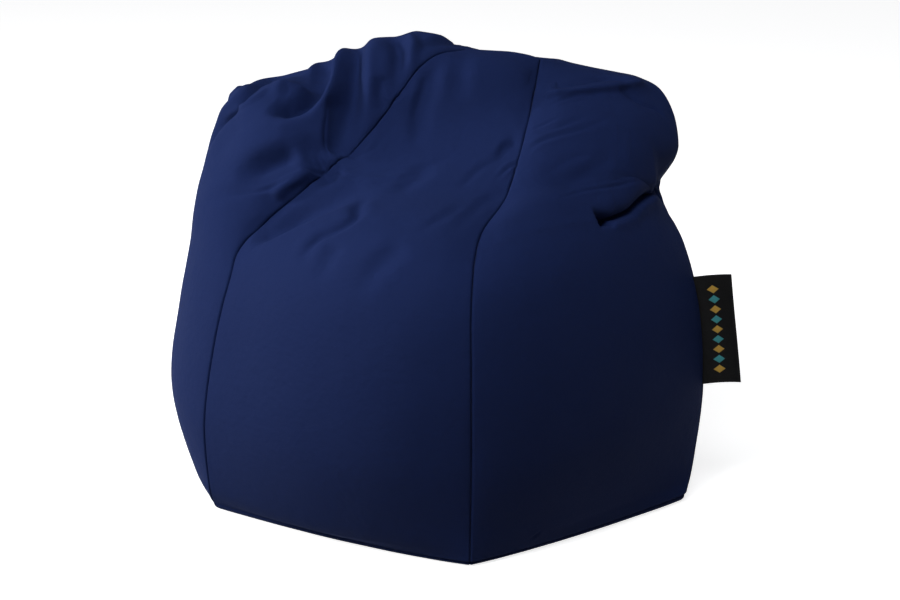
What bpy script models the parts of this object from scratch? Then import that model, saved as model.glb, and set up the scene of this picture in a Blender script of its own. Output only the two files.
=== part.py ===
"""Bean bag: six filled side panels, a base panel, a small top panel and a folded tag.

Run with: blender --background --python part.py
Units are metres, +Z is up, and the bag stands on Z = 0 with the seat facing -Y.
"""
import math
from collections import namedtuple

import bmesh
import bpy
import numpy as np
from mathutils import Vector

# Sizes that drive the bag
SIDES = 6                 # side panels, and so side seams
CLOTH = 0.0025            # thickness of the base and top panels, seam allowance included
SEAM_GAP = 0.0007         # how far neighbouring panels stand apart
BASE_CLEARANCE = 0.0011   # air between the filled panels and the base panel
CAP_CLEARANCE = 0.0006    # air between the filled panels and the top panel
BASE_TURN_IN = 0.012      # how far in from its seam the base panel reaches the floor
CAP_CROWN = 0.007         # rise of the top panel in its middle
CAP_SHOULDER = 0.7        # share of that rise reached half way in
EDGE_ROUNDNESS = 0.85     # below 1 a panel leaves its seams more steeply

# Folded tag in the right seam
TAG_OUT = 0.056           # width outside the seam
TAG_LAYER = 0.0010        # thickness of one layer of the tape
TAG_SPACING = 0.0019      # middle of one layer to middle of the other, at the seam
TAG_LOW = 0.160           # height of its lower corner at the seam
TAG_HIGH = 0.316          # height of its upper corner at the seam
TAG_STAND_OFF = 0.0016    # from the seam line to the tape
TAG_BEARING = 67.0        # direction in which it stands out, in degrees from the front
TAG_CURL = 0.004          # bow of the tag over its width
TAG_ROWS = 9              # points up the tag
TAG_COLUMNS = 7           # points across one layer

# Finishes, as Principled BSDF values
PANEL_COLOUR = (0.0125, 0.0240, 0.0820, 1.0)
TOP_COLOUR = (0.0130, 0.0250, 0.0850, 1.0)
TAG_COLOUR = (0.0028, 0.0028, 0.0032, 1.0)
CLOTH_ROUGHNESS = 0.88
TAG_ROUGHNESS = 0.75

# Panels, counted from the seat panel round by the right
SEAT, RIGHT, RIGHT_BACK, BACK, LEFT_BACK, LEFT = range(SIDES)
PANEL_NAMES = ("seat_panel", "right_panel", "right_back_panel",
               "back_panel", "left_back_panel", "left_panel")
COLUMNS = (22, 28, 12, 12, 12, 34)
PEAK = (0.57, 0.46, 0.50, 0.50, 0.50, 0.56)   # where each panel bulges most, across

# One row per level. For each level: the middle that it turns about, and then, for the six
# seams (left front, front, right, right back, back, left back), bearing in degrees from the
# front, reach from the middle and height. Swell is how far each panel stands out of the
# straight line between its seams. Steps is how many rows are cut up to the next level.
Level = namedtuple("Level", "name middle bearing reach height swell steps")
LEVELS = (
    Level("base seam", (0.000, 0.000), (-57, 5, 62.5, 125, 185, 245),
          (0.395, 0.413, 0.397, 0.388, 0.388, 0.388),
          (0.012, 0.007, 0.012, 0.012, 0.012, 0.012),
          (0.015, 0.011, 0.018, 0.018, 0.018, 0.018), 2),
    Level("foot", (0.000, 0.000), (-55, 5, 67, 125, 185, 245),
          (0.408, 0.416, 0.394, 0.398, 0.400, 0.402),
          (0.050, 0.050, 0.045, 0.050, 0.050, 0.050),
          (0.034, 0.028, 0.027, 0.034, 0.034, 0.034), 3),
    Level("belly", (0.000, 0.000), (-54, 5, 72, 126, 186, 246),
          (0.415, 0.427, 0.397, 0.395, 0.410, 0.412),
          (0.150, 0.150, 0.150, 0.150, 0.150, 0.150),
          (0.050, 0.048, 0.028, 0.050, 0.052, 0.052), 3),
    Level("waist", (0.000, 0.000), (-53.5, 5, 74, 127, 187, 247),
          (0.397, 0.425, 0.388, 0.385, 0.400, 0.398),
          (0.260, 0.270, 0.260, 0.265, 0.265, 0.260),
          (0.050, 0.045, 0.022, 0.048, 0.050, 0.050), 4),
    Level("shoulder", (0.000, 0.000), (-54, 5.5, 76, 128, 188, 247),
          (0.368, 0.392, 0.362, 0.368, 0.385, 0.383),
          (0.345, 0.375, 0.350, 0.370, 0.370, 0.350),
          (0.045, 0.040, 0.018, 0.046, 0.048, 0.050), 5),
    Level("brow", (0.000, 0.000), (-57, 9, 80, 129, 189, 247),
          (0.330, 0.310, 0.332, 0.350, 0.362, 0.372),
          (0.393, 0.432, 0.400, 0.430, 0.430, 0.430),
          (0.035, 0.036, 0.008, 0.044, 0.044, 0.056), 7),
    Level("slope", (0.020, 0.020), (-54.5, 16, 83, 130, 190, 246),
          (0.255, 0.240, 0.296, 0.325, 0.325, 0.384),
          (0.462, 0.466, 0.432, 0.470, 0.470, 0.513),
          (0.010, 0.026, 0.030, 0.040, 0.036, 0.076), 7),
    Level("seat", (0.050, 0.060), (-51, 22, 80, 131, 191, 249),
          (0.200, 0.172, 0.301, 0.260, 0.258, 0.350),
          (0.523, 0.528, 0.488, 0.508, 0.510, 0.549),
          (0.000, 0.030, 0.030, 0.034, 0.026, 0.062), 7),
    Level("rise", (0.075, 0.110), (-42, 25, 80, 133, 195, 256),
          (0.153, 0.135, 0.245, 0.190, 0.180, 0.245),
          (0.613, 0.575, 0.566, 0.535, 0.538, 0.566),
          (0.016, 0.014, 0.010, 0.022, 0.018, 0.044), 5),
    Level("cap edge", (0.088, 0.145), (-30, 30, 90, 150, 210, 270),
          (0.110, 0.110, 0.110, 0.110, 0.110, 0.110),
          (0.623, 0.609, 0.580, 0.556, 0.560, 0.592),
          (0.006, 0.006, 0.006, 0.006, 0.006, 0.010), 0),
)

# One row per fold. Its path gives knots as (across the panel, levels up); across runs 0 to 1
# between the panel's seams, and may run on past them into the next panel. Lip is how far the
# cloth on one side hangs over the fold. The fades are the shares of the length over which
# it dies away at its two ends.
Fold = namedtuple("Fold", "name panel path width depth lip kind fade_in fade_out")
FOLDS = (
    Fold("far valley", LEFT,
         ((.33, 5.50), (.40, 5.80), (.44, 6.05), (.43, 6.30), (.37, 6.55), (.29, 6.75), (.20, 6.9)),
         .028, .034, .010, "trough", .15, .2),
    Fold("far top", LEFT, ((.15, 6.65), (.20, 6.95), (.26, 7.22), (.30, 7.45)),
         .036, .018, .000, "dent", .3, .3),
    Fold("hump crest", LEFT, ((.45, 7.05), (.53, 6.78), (.58, 6.55), (.62, 6.33)),
         .024, .006, .000, "bump", .2, .2),
    Fold("shoulder slope", LEFT, ((.52, 5.2), (.54, 5.7), (.56, 6.2)),
         .040, .008, .000, "dent", .4, .4),
    Fold("hump hollow", LEFT,
         ((.636, 6.30), (.71, 6.40), (.73, 6.63), (.71, 6.87), (.645, 7.14), (.52, 7.38),
          (.40, 7.53), (.31, 7.62), (.20, 7.70), (.10, 7.76)),
         .024, .024, .000, "trough", .12, .5),
    Fold("hump hollow back", LEFT,
         ((.60, 6.72), (.53, 6.98), (.45, 7.20), (.36, 7.42), (.22, 7.58)),
         .028, .014, .000, "dent", .2, .5),
    Fold("hump hollow ridge", LEFT,
         ((.77, 6.44), (.775, 6.74), (.75, 7.0), (.68, 7.28), (.56, 7.52), (.42, 7.72),
          (.30, 7.84), (.18, 7.92)),
         .018, .012, .000, "ridge", .2, .6),
    Fold("hump band", LEFT,
         ((.24, 8.04), (.43, 7.87), (.60, 7.68), (.78, 7.36), (.89, 7.03), (.97, 6.70),
          (.99, 6.5)),
         .026, .020, .000, "trough", .35, .1),
    Fold("crown hollow", LEFT, ((.64, 8.16), (.83, 7.96), (.91, 7.80), (.97, 7.61), (1.0, 7.40)),
         .018, .011, .000, "trough", .2, .2),
    Fold("crown peak", LEFT, ((.88, 8.7), (.70, 8.6), (.50, 8.4)),
         .040, .012, .000, "bump", .3, .3),
    Fold("low hollow", LEFT, ((.78, 5.35), (.84, 5.65), (.885, 5.9), (.92, 6.15)),
         .026, .020, .000, "trough", .4, .3),
    Fold("seam pinch", LEFT, ((.84, 6.2), (.94, 6.25), (1.03, 6.15)),
         .020, .018, .000, "trough", .6, .0),
    Fold("seat edge hollow", SEAT, ((.00, 5.0), (.13, 5.3), (.38, 5.95)),
         .030, .018, .000, "trough", .3, .5),
    Fold("seat long", SEAT,
         ((.05, 8.2), (.12, 7.85), (.18, 7.57), (.225, 7.30), (.30, 7.04), (.385, 6.60)),
         .018, .008, .000, "trough", .3, .3),
    Fold("seat short", SEAT, ((.12, 8.74), (.24, 8.28), (.32, 7.94), (.40, 7.68), (.50, 7.42)),
         .018, .006, .000, "trough", .2, .3),
    Fold("seat middle", SEAT, ((.52, 6.52), (.53, 6.25), (.51, 6.06), (.50, 5.70)),
         .020, .006, .000, "trough", .4, .3),
    Fold("seat wandering", SEAT,
         ((.37, 5.80), (.42, 5.45), (.49, 5.12), (.455, 4.86), (.395, 4.71), (.365, 4.45),
          (.355, 4.1)),
         .018, .007, .002, "trough", .2, .3),
    Fold("seat low left", SEAT, ((.50, 4.55), (.475, 4.3), (.44, 3.9)),
         .018, .004, .000, "trough", .4, .4),
    Fold("seat low middle", SEAT, ((.76, 4.60), (.70, 4.30), (.59, 3.75)),
         .022, .005, .000, "trough", .4, .4),
    Fold("seat right", SEAT, ((.99, 7.1), (.92, 6.65), (.86, 6.2)),
         .018, .004, .000, "trough", .3, .5),
    Fold("right pinch", RIGHT,
         ((1.02, 6.08), (.94, 5.86), (.86, 5.48), (.73, 5.12), (.64, 4.90), (.51, 4.74)),
         .023, .022, .006, "trough", .25, .15),
    Fold("right lobe belly", RIGHT, ((.88, 6.15), (.72, 5.95), (.52, 5.72), (.34, 5.58)),
         .028, .012, .000, "bump", .3, .4),
    Fold("right lobe edge", RIGHT, ((.62, 5.30), (.74, 5.50), (.84, 5.80), (.92, 6.02)),
         .022, .006, .000, "bump", .3, .2),
    Fold("right high crease", RIGHT,
         ((.95, 8.05), (.61, 7.83), (.46, 7.79), (.18, 7.78), (.06, 7.66)),
         .024, .010, .000, "ridge", .15, .2),
    Fold("right back first", RIGHT_BACK, ((.32, 7.4), (.45, 6.4), (.42, 5.3)),
         .024, .016, .006, "trough", .4, .5),
    Fold("right back second", RIGHT_BACK, ((.75, 7.1), (.66, 6.1), (.72, 5.1)),
         .022, .013, .000, "trough", .4, .5),
    Fold("back first", BACK, ((.20, 7.5), (.34, 6.4), (.27, 5.2)),
         .024, .016, .006, "trough", .4, .5),
    Fold("back second", BACK, ((.68, 7.3), (.60, 6.3), (.71, 4.9)),
         .026, .017, .006, "trough", .4, .5),
    Fold("left back first", LEFT_BACK, ((.28, 7.3), (.38, 6.2), (.32, 5.2)),
         .024, .014, .000, "trough", .4, .5),
    Fold("left back second", LEFT_BACK, ((.66, 7.7), (.66, 6.6), (.54, 5.3)),
         .026, .017, .006, "trough", .4, .5),
)
FOLD_PIECES = 24          # straight pieces in which a fold's path is followed
SEAM_HOLD = 0.35          # share of a fold's depth that a sewn seam lets through
SEAM_REACH = 0.14         # how far across a panel its seams still hold the folds back


def clear_scene():
    """Remove every object that the opened file holds."""
    for item in list(bpy.data.objects):
        bpy.data.objects.remove(item, do_unlink=True)


def through(values, steps):
    """A smooth line through the values, cut into the given steps between each two."""
    knots = np.asarray(values, dtype=float)
    before = 2.0 * knots[0] - knots[1]
    after = 2.0 * knots[-1] - knots[-2]
    line = np.concatenate([[before], knots, [after]])
    points = []
    for i, count in enumerate(steps):
        p0, p1, p2, p3 = line[i:i + 4]
        for step in range(count):
            t = step / count
            points.append(0.5 * (2.0 * p1 + (p2 - p0) * t
                                 + (2.0 * p0 - 5.0 * p1 + 4.0 * p2 - p3) * t ** 2
                                 + (3.0 * p1 - p0 - 3.0 * p2 + p3) * t ** 3))
    points.append(knots[-1])
    return np.array(points)


def row_steps():
    """Rows cut between each two levels."""
    return [level.steps for level in LEVELS[:-1]]


def seam_lines():
    """The six seams as lines of points, from the base seam up to the top panel."""
    lines = []
    for k in range(SIDES):
        points = []
        for level in LEVELS:
            turn = math.radians(level.bearing[k])
            points.append((level.middle[0] + level.reach[k] * math.sin(turn),
                           level.middle[1] - level.reach[k] * math.cos(turn),
                           level.height[k]))
        lines.append(through(points, row_steps()))
    return lines


def smooth_panel(lines, k):
    """One side panel before its folds: straight between its seams, then swelled."""
    left, right = lines[k], lines[(k + 1) % SIDES]
    swell = through([level.swell[k] for level in LEVELS], row_steps())
    share = np.linspace(0.0, 1.0, COLUMNS[k] + 1)
    flat = left[:, None] * (1.0 - share)[:, None] + right[:, None] * share[:, None]
    upward = np.gradient(flat, axis=0)
    sideways = np.broadcast_to((right - left)[:, None], flat.shape)
    outward = np.cross(sideways, upward)
    outward[0, :, 2] = 0.0
    outward /= np.linalg.norm(outward, axis=-1, keepdims=True)
    leaning = share ** (math.log(0.5) / math.log(PEAK[k]))
    crown = (4.0 * leaning * (1.0 - leaning)) ** EDGE_ROUNDNESS
    return flat + outward * swell[:, None, None] * crown[None, :, None]


def panel_normals(panels):
    """Outward directions of every panel point, shared along the seams."""
    ring = np.concatenate([panel[:, :-1] for panel in panels], axis=1)
    around = np.roll(ring, -1, axis=1) - np.roll(ring, 1, axis=1)
    normals = np.cross(around, np.gradient(ring, axis=0))
    normals /= np.linalg.norm(normals, axis=-1, keepdims=True)
    closed = np.concatenate([normals, normals[:, :1]], axis=1)
    starts = np.cumsum((0,) + COLUMNS)
    return [closed[:, starts[k]:starts[k + 1] + 1] for k in range(SIDES)]


def point_on(panels, panel, across, up):
    """The point of the smooth bag at a place given in panel measures."""
    panel = (panel + math.floor(across)) % SIDES
    across -= math.floor(across)
    grid = panels[panel]
    steps = row_steps()
    up = min(max(up, 0.0), len(steps) - 1e-6)
    row = sum(steps[:int(up)]) + (up - int(up)) * steps[int(up)]
    column = across * COLUMNS[panel]
    i, j = int(row), min(int(column), COLUMNS[panel] - 1)
    low = grid[i, j] * (1.0 - column + j) + grid[i, j + 1] * (column - j)
    high = grid[i + 1, j] * (1.0 - column + j) + grid[i + 1, j + 1] * (column - j)
    return low * (1.0 - row + i) + high * (row - i)


def ease(value):
    """0 below 0, 1 above 1, and a soft rise between."""
    held = np.clip(value, 0.0, 1.0)
    return held * held * (3.0 - 2.0 * held)


def fold_profile(kind, x):
    """Height of a fold, in depths, at x widths from its line."""
    if kind == "trough":
        return -(1.0 - 0.9 * x ** 2) * np.exp(-x ** 2)
    if kind == "ridge":
        return (1.0 - 0.6 * x ** 2) * np.exp(-x ** 2)
    if kind == "dent":
        return -np.exp(-x ** 2)
    return np.exp(-x ** 2)


def fold_moves(panels, fold, points, normals, free):
    """How far one fold moves each point of the smooth bag; free is 0 on a seam, 1 clear of it."""
    share = FOLD_PIECES // (len(fold.path) - 1)
    knots = through(fold.path, [share] * (len(fold.path) - 1))
    path = [point_on(panels, fold.panel, across, up) for across, up in knots]
    pieces = len(path) - 1
    nearest = np.full(len(points), np.inf)
    along = np.zeros(len(points))
    foot = np.zeros_like(points)
    heading = np.zeros_like(points)
    for i in range(pieces):
        piece = path[i + 1] - path[i]
        length = np.linalg.norm(piece)
        share = np.clip((points - path[i]) @ piece / length ** 2, 0.0, 1.0)
        spot = path[i] + share[:, None] * piece
        away = np.linalg.norm(points - spot, axis=1)
        closer = away < nearest
        nearest[closer] = away[closer]
        along[closer] = (i + share[closer]) / pieces
        foot[closer] = spot[closer]
        heading[closer] = piece / length
    x = nearest / fold.width
    fade = np.ones(len(points))
    if fold.fade_in:
        fade = fade * ease(along / fold.fade_in)
    if fold.fade_out:
        fade = fade * ease((1.0 - along) / fold.fade_out)
    aside = np.cross(heading, normals)
    hanging = np.einsum("ij,ij->i", aside, points - foot) > 0.0
    lean = fold.lip * (x / 0.8) ** 2 * np.exp(1.0 - (x / 0.8) ** 2) * hanging
    depth = fold.depth * fade * (SEAM_HOLD + (1.0 - SEAM_HOLD) * free)
    moves = normals * (depth * fold_profile(fold.kind, x))[:, None]
    return moves - aside * (lean * fade * free)[:, None]


def folded_panels(lines):
    """All side panels with their crown and folds."""
    smooth = [smooth_panel(lines, k) for k in range(SIDES)]
    normals = panel_normals(smooth)
    finished = []
    for k in range(SIDES):
        points = smooth[k].reshape(-1, 3)
        facing = normals[k].reshape(-1, 3)
        share = np.linspace(0.0, 1.0, COLUMNS[k] + 1)
        free = ease(np.minimum(share, 1.0 - share) / SEAM_REACH)
        free = np.broadcast_to(free, smooth[k].shape[:2]).ravel()
        moved = points.copy()
        for fold in FOLDS:
            moved += fold_moves(smooth, fold, points, facing, free)
        finished.append(moved.reshape(smooth[k].shape))
    return finished


def core_line(lines):
    """The line inside the bag in which the filled panels meet."""
    middle = sum(lines) / SIDES
    core = middle.copy()
    core[0, 2] = CLOTH + BASE_CLEARANCE
    return core


def cap_normal(lines):
    """Direction that the small top panel faces."""
    rim = [line[-1] for line in lines]
    normal = np.cross(rim[2] - rim[0], rim[4] - rim[0])
    return normal / np.linalg.norm(normal)


def floor_loop(row, core):
    """A base seam row turned in and down to the level of the floor."""
    aim = core[0] - row
    aim[:, 2] = 0.0
    aim /= np.linalg.norm(aim, axis=1, keepdims=True)
    loop = row + aim * BASE_TURN_IN
    loop[:, 2] = core[0][2]
    return loop


def cap_loop(row, core, normal):
    """A top row drawn half way in to the middle, on the crown of the top panel."""
    return 0.5 * (row + core[-1]) + normal * CAP_CROWN * CAP_SHOULDER


def material(name, colour, roughness):
    """A plain Principled BSDF finish."""
    made = bpy.data.materials.new(name)
    made.use_nodes = True
    shader = made.node_tree.nodes["Principled BSDF"]
    shader.inputs["Base Color"].default_value = colour
    shader.inputs["Roughness"].default_value = roughness
    shader.inputs["Metallic"].default_value = 0.0
    made.diffuse_color = colour
    return made


def finish_object(work, name, finish, collection):
    """Turn a bmesh into a named, smooth shaded object in the collection."""
    bmesh.ops.recalc_face_normals(work, faces=work.faces)
    mesh = bpy.data.meshes.new(name)
    work.to_mesh(mesh)
    work.free()
    for polygon in mesh.polygons:
        polygon.use_smooth = True
    mesh.materials.append(finish)
    made = bpy.data.objects.new(name, mesh)
    collection.objects.link(made)
    return made


def build_filled_panel(k, grid, core, normal, collection):
    """A side panel with its share of the filling: face, two flat walls, foot and top."""
    row_count, column_count = grid.shape[:2]
    work = bmesh.new()
    place = {}

    def corner(key, point):
        """The vertex kept under this key, made when it is first asked for."""
        if key not in place:
            place[key] = work.verts.new(point)
        return place[key]

    def face(*keys):
        """A triangle between three kept vertices."""
        work.faces.new([place[key] for key in keys])

    floor = floor_loop(grid[0], core)
    cap = cap_loop(grid[-1], core, normal)
    for r in range(row_count):
        for c in range(column_count):
            corner(("face", r, c), grid[r, c])
        corner(("core", r), core[r])
    for c in range(column_count):
        corner(("floor", c), floor[c])
        corner(("cap", c), cap[c])
    place["core", row_count - 1].co = Vector(core[-1] + normal * CAP_CROWN)
    for r in range(row_count - 1):
        for c in range(column_count - 1):
            face(("face", r, c), ("face", r, c + 1), ("face", r + 1, c + 1))
            face(("face", r, c), ("face", r + 1, c + 1), ("face", r + 1, c))
    for c in range(column_count - 1):
        face(("face", 0, c), ("floor", c), ("floor", c + 1))
        face(("face", 0, c), ("floor", c + 1), ("face", 0, c + 1))
        face(("core", 0), ("floor", c + 1), ("floor", c))
        face(("face", row_count - 1, c), ("cap", c), ("cap", c + 1))
        face(("face", row_count - 1, c), ("cap", c + 1), ("face", row_count - 1, c + 1))
        face(("core", row_count - 1), ("cap", c + 1), ("cap", c))
    for c in (0, column_count - 1):
        face(("core", 1), ("core", 0), ("floor", c))
        face(("core", 1), ("floor", c), ("face", 0, c))
        face(("core", 1), ("face", 0, c), ("face", 1, c))
        for r in range(1, row_count - 2):
            face(("core", r), ("face", r, c), ("face", r + 1, c))
            face(("core", r), ("face", r + 1, c), ("core", r + 1))
        last = row_count - 1
        face(("core", last - 1), ("face", last - 1, c), ("face", last, c))
        face(("core", last - 1), ("face", last, c), ("cap", c))
        face(("core", last - 1), ("cap", c), ("core", last))
    finish = material(PANEL_NAMES[k] + "_cloth", PANEL_COLOUR, CLOTH_ROUGHNESS)
    made = finish_object(work, PANEL_NAMES[k], finish, collection)
    outward = grid[row_count // 3, column_count // 2] - core[row_count // 3]
    outward[2] = 0.0
    outward /= np.linalg.norm(outward)
    made.location = Vector(outward * SEAM_GAP)
    return made


def joined_rows(grids, row):
    """One row of points right round the bag."""
    return np.concatenate([grid[row, :-1] for grid in grids])


def build_ring_sheet(name, loops, middle, finish, rise, collection):
    """A sheet made of closed loops that shrink to a middle point, thickened by its rise."""
    work = bmesh.new()
    made_loops = [[work.verts.new(point) for point in loop] for loop in loops]
    centre = work.verts.new(middle)
    count = len(loops[0])
    for outer, inner in zip(made_loops, made_loops[1:]):
        for i in range(count):
            j = (i + 1) % count
            work.faces.new((outer[i], outer[j], inner[j], inner[i]))
    for i in range(count):
        work.faces.new((made_loops[-1][i], made_loops[-1][(i + 1) % count], centre))
    raised = bmesh.ops.extrude_face_region(work, geom=list(work.faces), use_keep_orig=True)
    upper = [item for item in raised["geom"] if isinstance(item, bmesh.types.BMVert)]
    bmesh.ops.translate(work, verts=upper, vec=rise)
    return finish_object(work, name, finish, collection)


def build_base_panel(grids, core, collection):
    """The six-sided base: flat on the floor, turned up to its seam all round."""
    rim = joined_rows(grids, 0)
    turned = floor_loop(rim, core)
    seam = rim.copy()
    seam[:, 2] -= CLOTH + BASE_CLEARANCE
    turned[:, 2] = 0.0
    finish = material("base_cloth", PANEL_COLOUR, CLOTH_ROUGHNESS)
    return build_ring_sheet("base_panel", (seam, turned, turned * 0.5), (0.0, 0.0, 0.0),
                            finish, (0.0, 0.0, CLOTH), collection)


def build_top_panel(grids, core, normal, collection):
    """The small six-sided top, slightly crowned, sitting on the side panels."""
    rim = joined_rows(grids, -1)
    lift = normal * CAP_CLEARANCE
    inner = cap_loop(rim, core, normal)
    middle = core[-1] + normal * CAP_CROWN
    finish = material("top_cloth", TOP_COLOUR, CLOTH_ROUGHNESS)
    return build_ring_sheet("top_panel", (rim + lift, inner + lift), middle + lift,
                            finish, normal * CLOTH, collection)


def build_tag(line, collection):
    """A tape folded double at its outer edge, with both ends at the right seam."""
    heights = np.linspace(TAG_LOW, TAG_HIGH, TAG_ROWS)
    root = np.array([[np.interp(z, line[:, 2], line[:, axis]) for axis in range(3)]
                     for z in heights])
    turn = math.radians(TAG_BEARING)
    out = np.array((math.sin(turn), -math.cos(turn), 0.0))
    facing = np.array((-out[1], out[0], 0.0))
    edge = root[0] + (root[-1] - root[0]) * np.linspace(0.0, 1.0, TAG_ROWS)[:, None]
    widths = np.linspace(0.0, 1.0, TAG_COLUMNS)
    section = [(w, -1.0) for w in widths] + [(1.0, 0.0)] + [(w, 1.0) for w in widths[::-1]]
    work = bmesh.new()
    rows = []
    for start, square in zip(root, edge):
        row = []
        for w, side in section:
            base = start * (1.0 - w) + square * w
            fold = TAG_SPACING * 0.5 if side == 0.0 else 0.0
            reach = TAG_STAND_OFF + (TAG_OUT - TAG_SPACING) * w + fold
            aside = TAG_CURL * 4.0 * w * (1.0 - w) + side * TAG_SPACING * 0.5
            row.append(work.verts.new(base + out * reach + facing * aside))
        rows.append(row)
    for low, high in zip(rows, rows[1:]):
        for i in range(len(section) - 1):
            work.faces.new((low[i], low[i + 1], high[i + 1], high[i]))
    finish = material("tag_tape", TAG_COLOUR, TAG_ROUGHNESS)
    made = finish_object(work, "seam_tag", finish, collection)
    solid = made.modifiers.new("tape thickness", "SOLIDIFY")
    solid.thickness = TAG_LAYER
    solid.offset = 0.0
    return made


def main():
    """Build the bean bag from its tables."""
    clear_scene()
    collection = bpy.data.collections.new("bean_bag")
    bpy.context.scene.collection.children.link(collection)
    lines = seam_lines()
    grids = folded_panels(lines)
    core = core_line(lines)
    normal = cap_normal(lines)
    for k in range(SIDES):
        build_filled_panel(k, grids[k], core, normal, collection)
    build_base_panel(grids, core, collection)
    build_top_panel(grids, core, normal, collection)
    build_tag(lines[2], collection)


main()
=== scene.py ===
"""Looks of the bean bag: folded cloth panels, sewn seams, a folded tag and the studio."""
import logging
import math
from dataclasses import dataclass, field
from enum import Enum
from typing import Any, Sequence

import bpy
import numpy as np
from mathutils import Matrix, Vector
from mathutils.bvhtree import BVHTree


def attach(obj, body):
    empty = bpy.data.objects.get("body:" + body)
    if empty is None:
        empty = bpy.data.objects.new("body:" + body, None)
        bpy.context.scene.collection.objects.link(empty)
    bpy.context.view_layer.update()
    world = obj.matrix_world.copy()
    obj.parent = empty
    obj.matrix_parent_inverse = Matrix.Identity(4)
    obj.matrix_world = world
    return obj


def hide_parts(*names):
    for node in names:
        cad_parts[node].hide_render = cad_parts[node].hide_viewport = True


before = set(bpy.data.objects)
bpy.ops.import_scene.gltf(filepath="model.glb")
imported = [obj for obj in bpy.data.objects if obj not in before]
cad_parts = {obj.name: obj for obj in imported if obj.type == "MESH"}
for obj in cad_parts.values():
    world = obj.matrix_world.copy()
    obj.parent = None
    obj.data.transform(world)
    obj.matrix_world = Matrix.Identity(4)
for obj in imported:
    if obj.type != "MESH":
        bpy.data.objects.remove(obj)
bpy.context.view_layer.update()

LOG = logging.getLogger("bean_bag")
Array = np.ndarray
Pair = tuple[float, float]
Six = tuple[float, float, float, float, float, float]

SIDES = 6
SEAT, RIGHT, RIGHT_BACK, BACK, LEFT_BACK, LEFT = range(SIDES)
PANEL_NODES = ("seat_panel", "right_panel", "right_back_panel",
               "back_panel", "left_back_panel", "left_panel")
PHOTO_SIZE = (900, 600)

# Soft noise repeats after so many cells; the shift keeps its places above zero.
NOISE_CELLS = 32
NOISE_SHIFT = 400.0
# In widths of a fold from its line: where its effect ends, and where its lip hangs furthest.
FOLD_REACH = 3.2
LIP_PLACE = 0.8
# How strongly a trough and a ridge swing back beside their line, how fast a crease rises, and
# the height, place and width of the small shoulder beside it.
TROUGH_RETURN = 0.9
RIDGE_RETURN = 0.6
CREASE_RISE = 1.8
CREASE_SHOULDER = (0.45, 1.3, 0.7)
# Numbers of the Mix node's two colour inputs and of its colour output.
MIX_FIRST, MIX_SECOND, MIX_RESULT = 6, 7, 2


class Kind(Enum):
    """How a fold runs across its line."""

    TROUGH = "trough"
    RIDGE = "ridge"
    DENT = "dent"
    BUMP = "bump"
    CREASE = "crease"


@dataclass(frozen=True)
class Level:
    """One height of the bag, with a value for each of the six seams."""

    name: str
    middle: Pair
    bearing: Six
    reach: Six
    height: Six
    swell: Six
    rows: int


@dataclass(frozen=True)
class Fold:
    """A main fold, placed in panel measures: across its panel and levels up; sizes in metres."""

    name: str
    panel: int
    path: tuple[Pair, ...]
    width: float
    depth: float
    lip: float
    kind: Kind
    fade_in: float
    fade_out: float


@dataclass(frozen=True)
class PhotoCrease:
    """A crease placed where the photograph shows it, in its pixels; sizes are in metres."""

    name: str
    pixels: tuple[Pair, ...]
    width: float
    depth: float
    kind: Kind
    fade_in: float = 0.5
    fade_out: float = 0.5
    lip: float = 0.0


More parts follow.
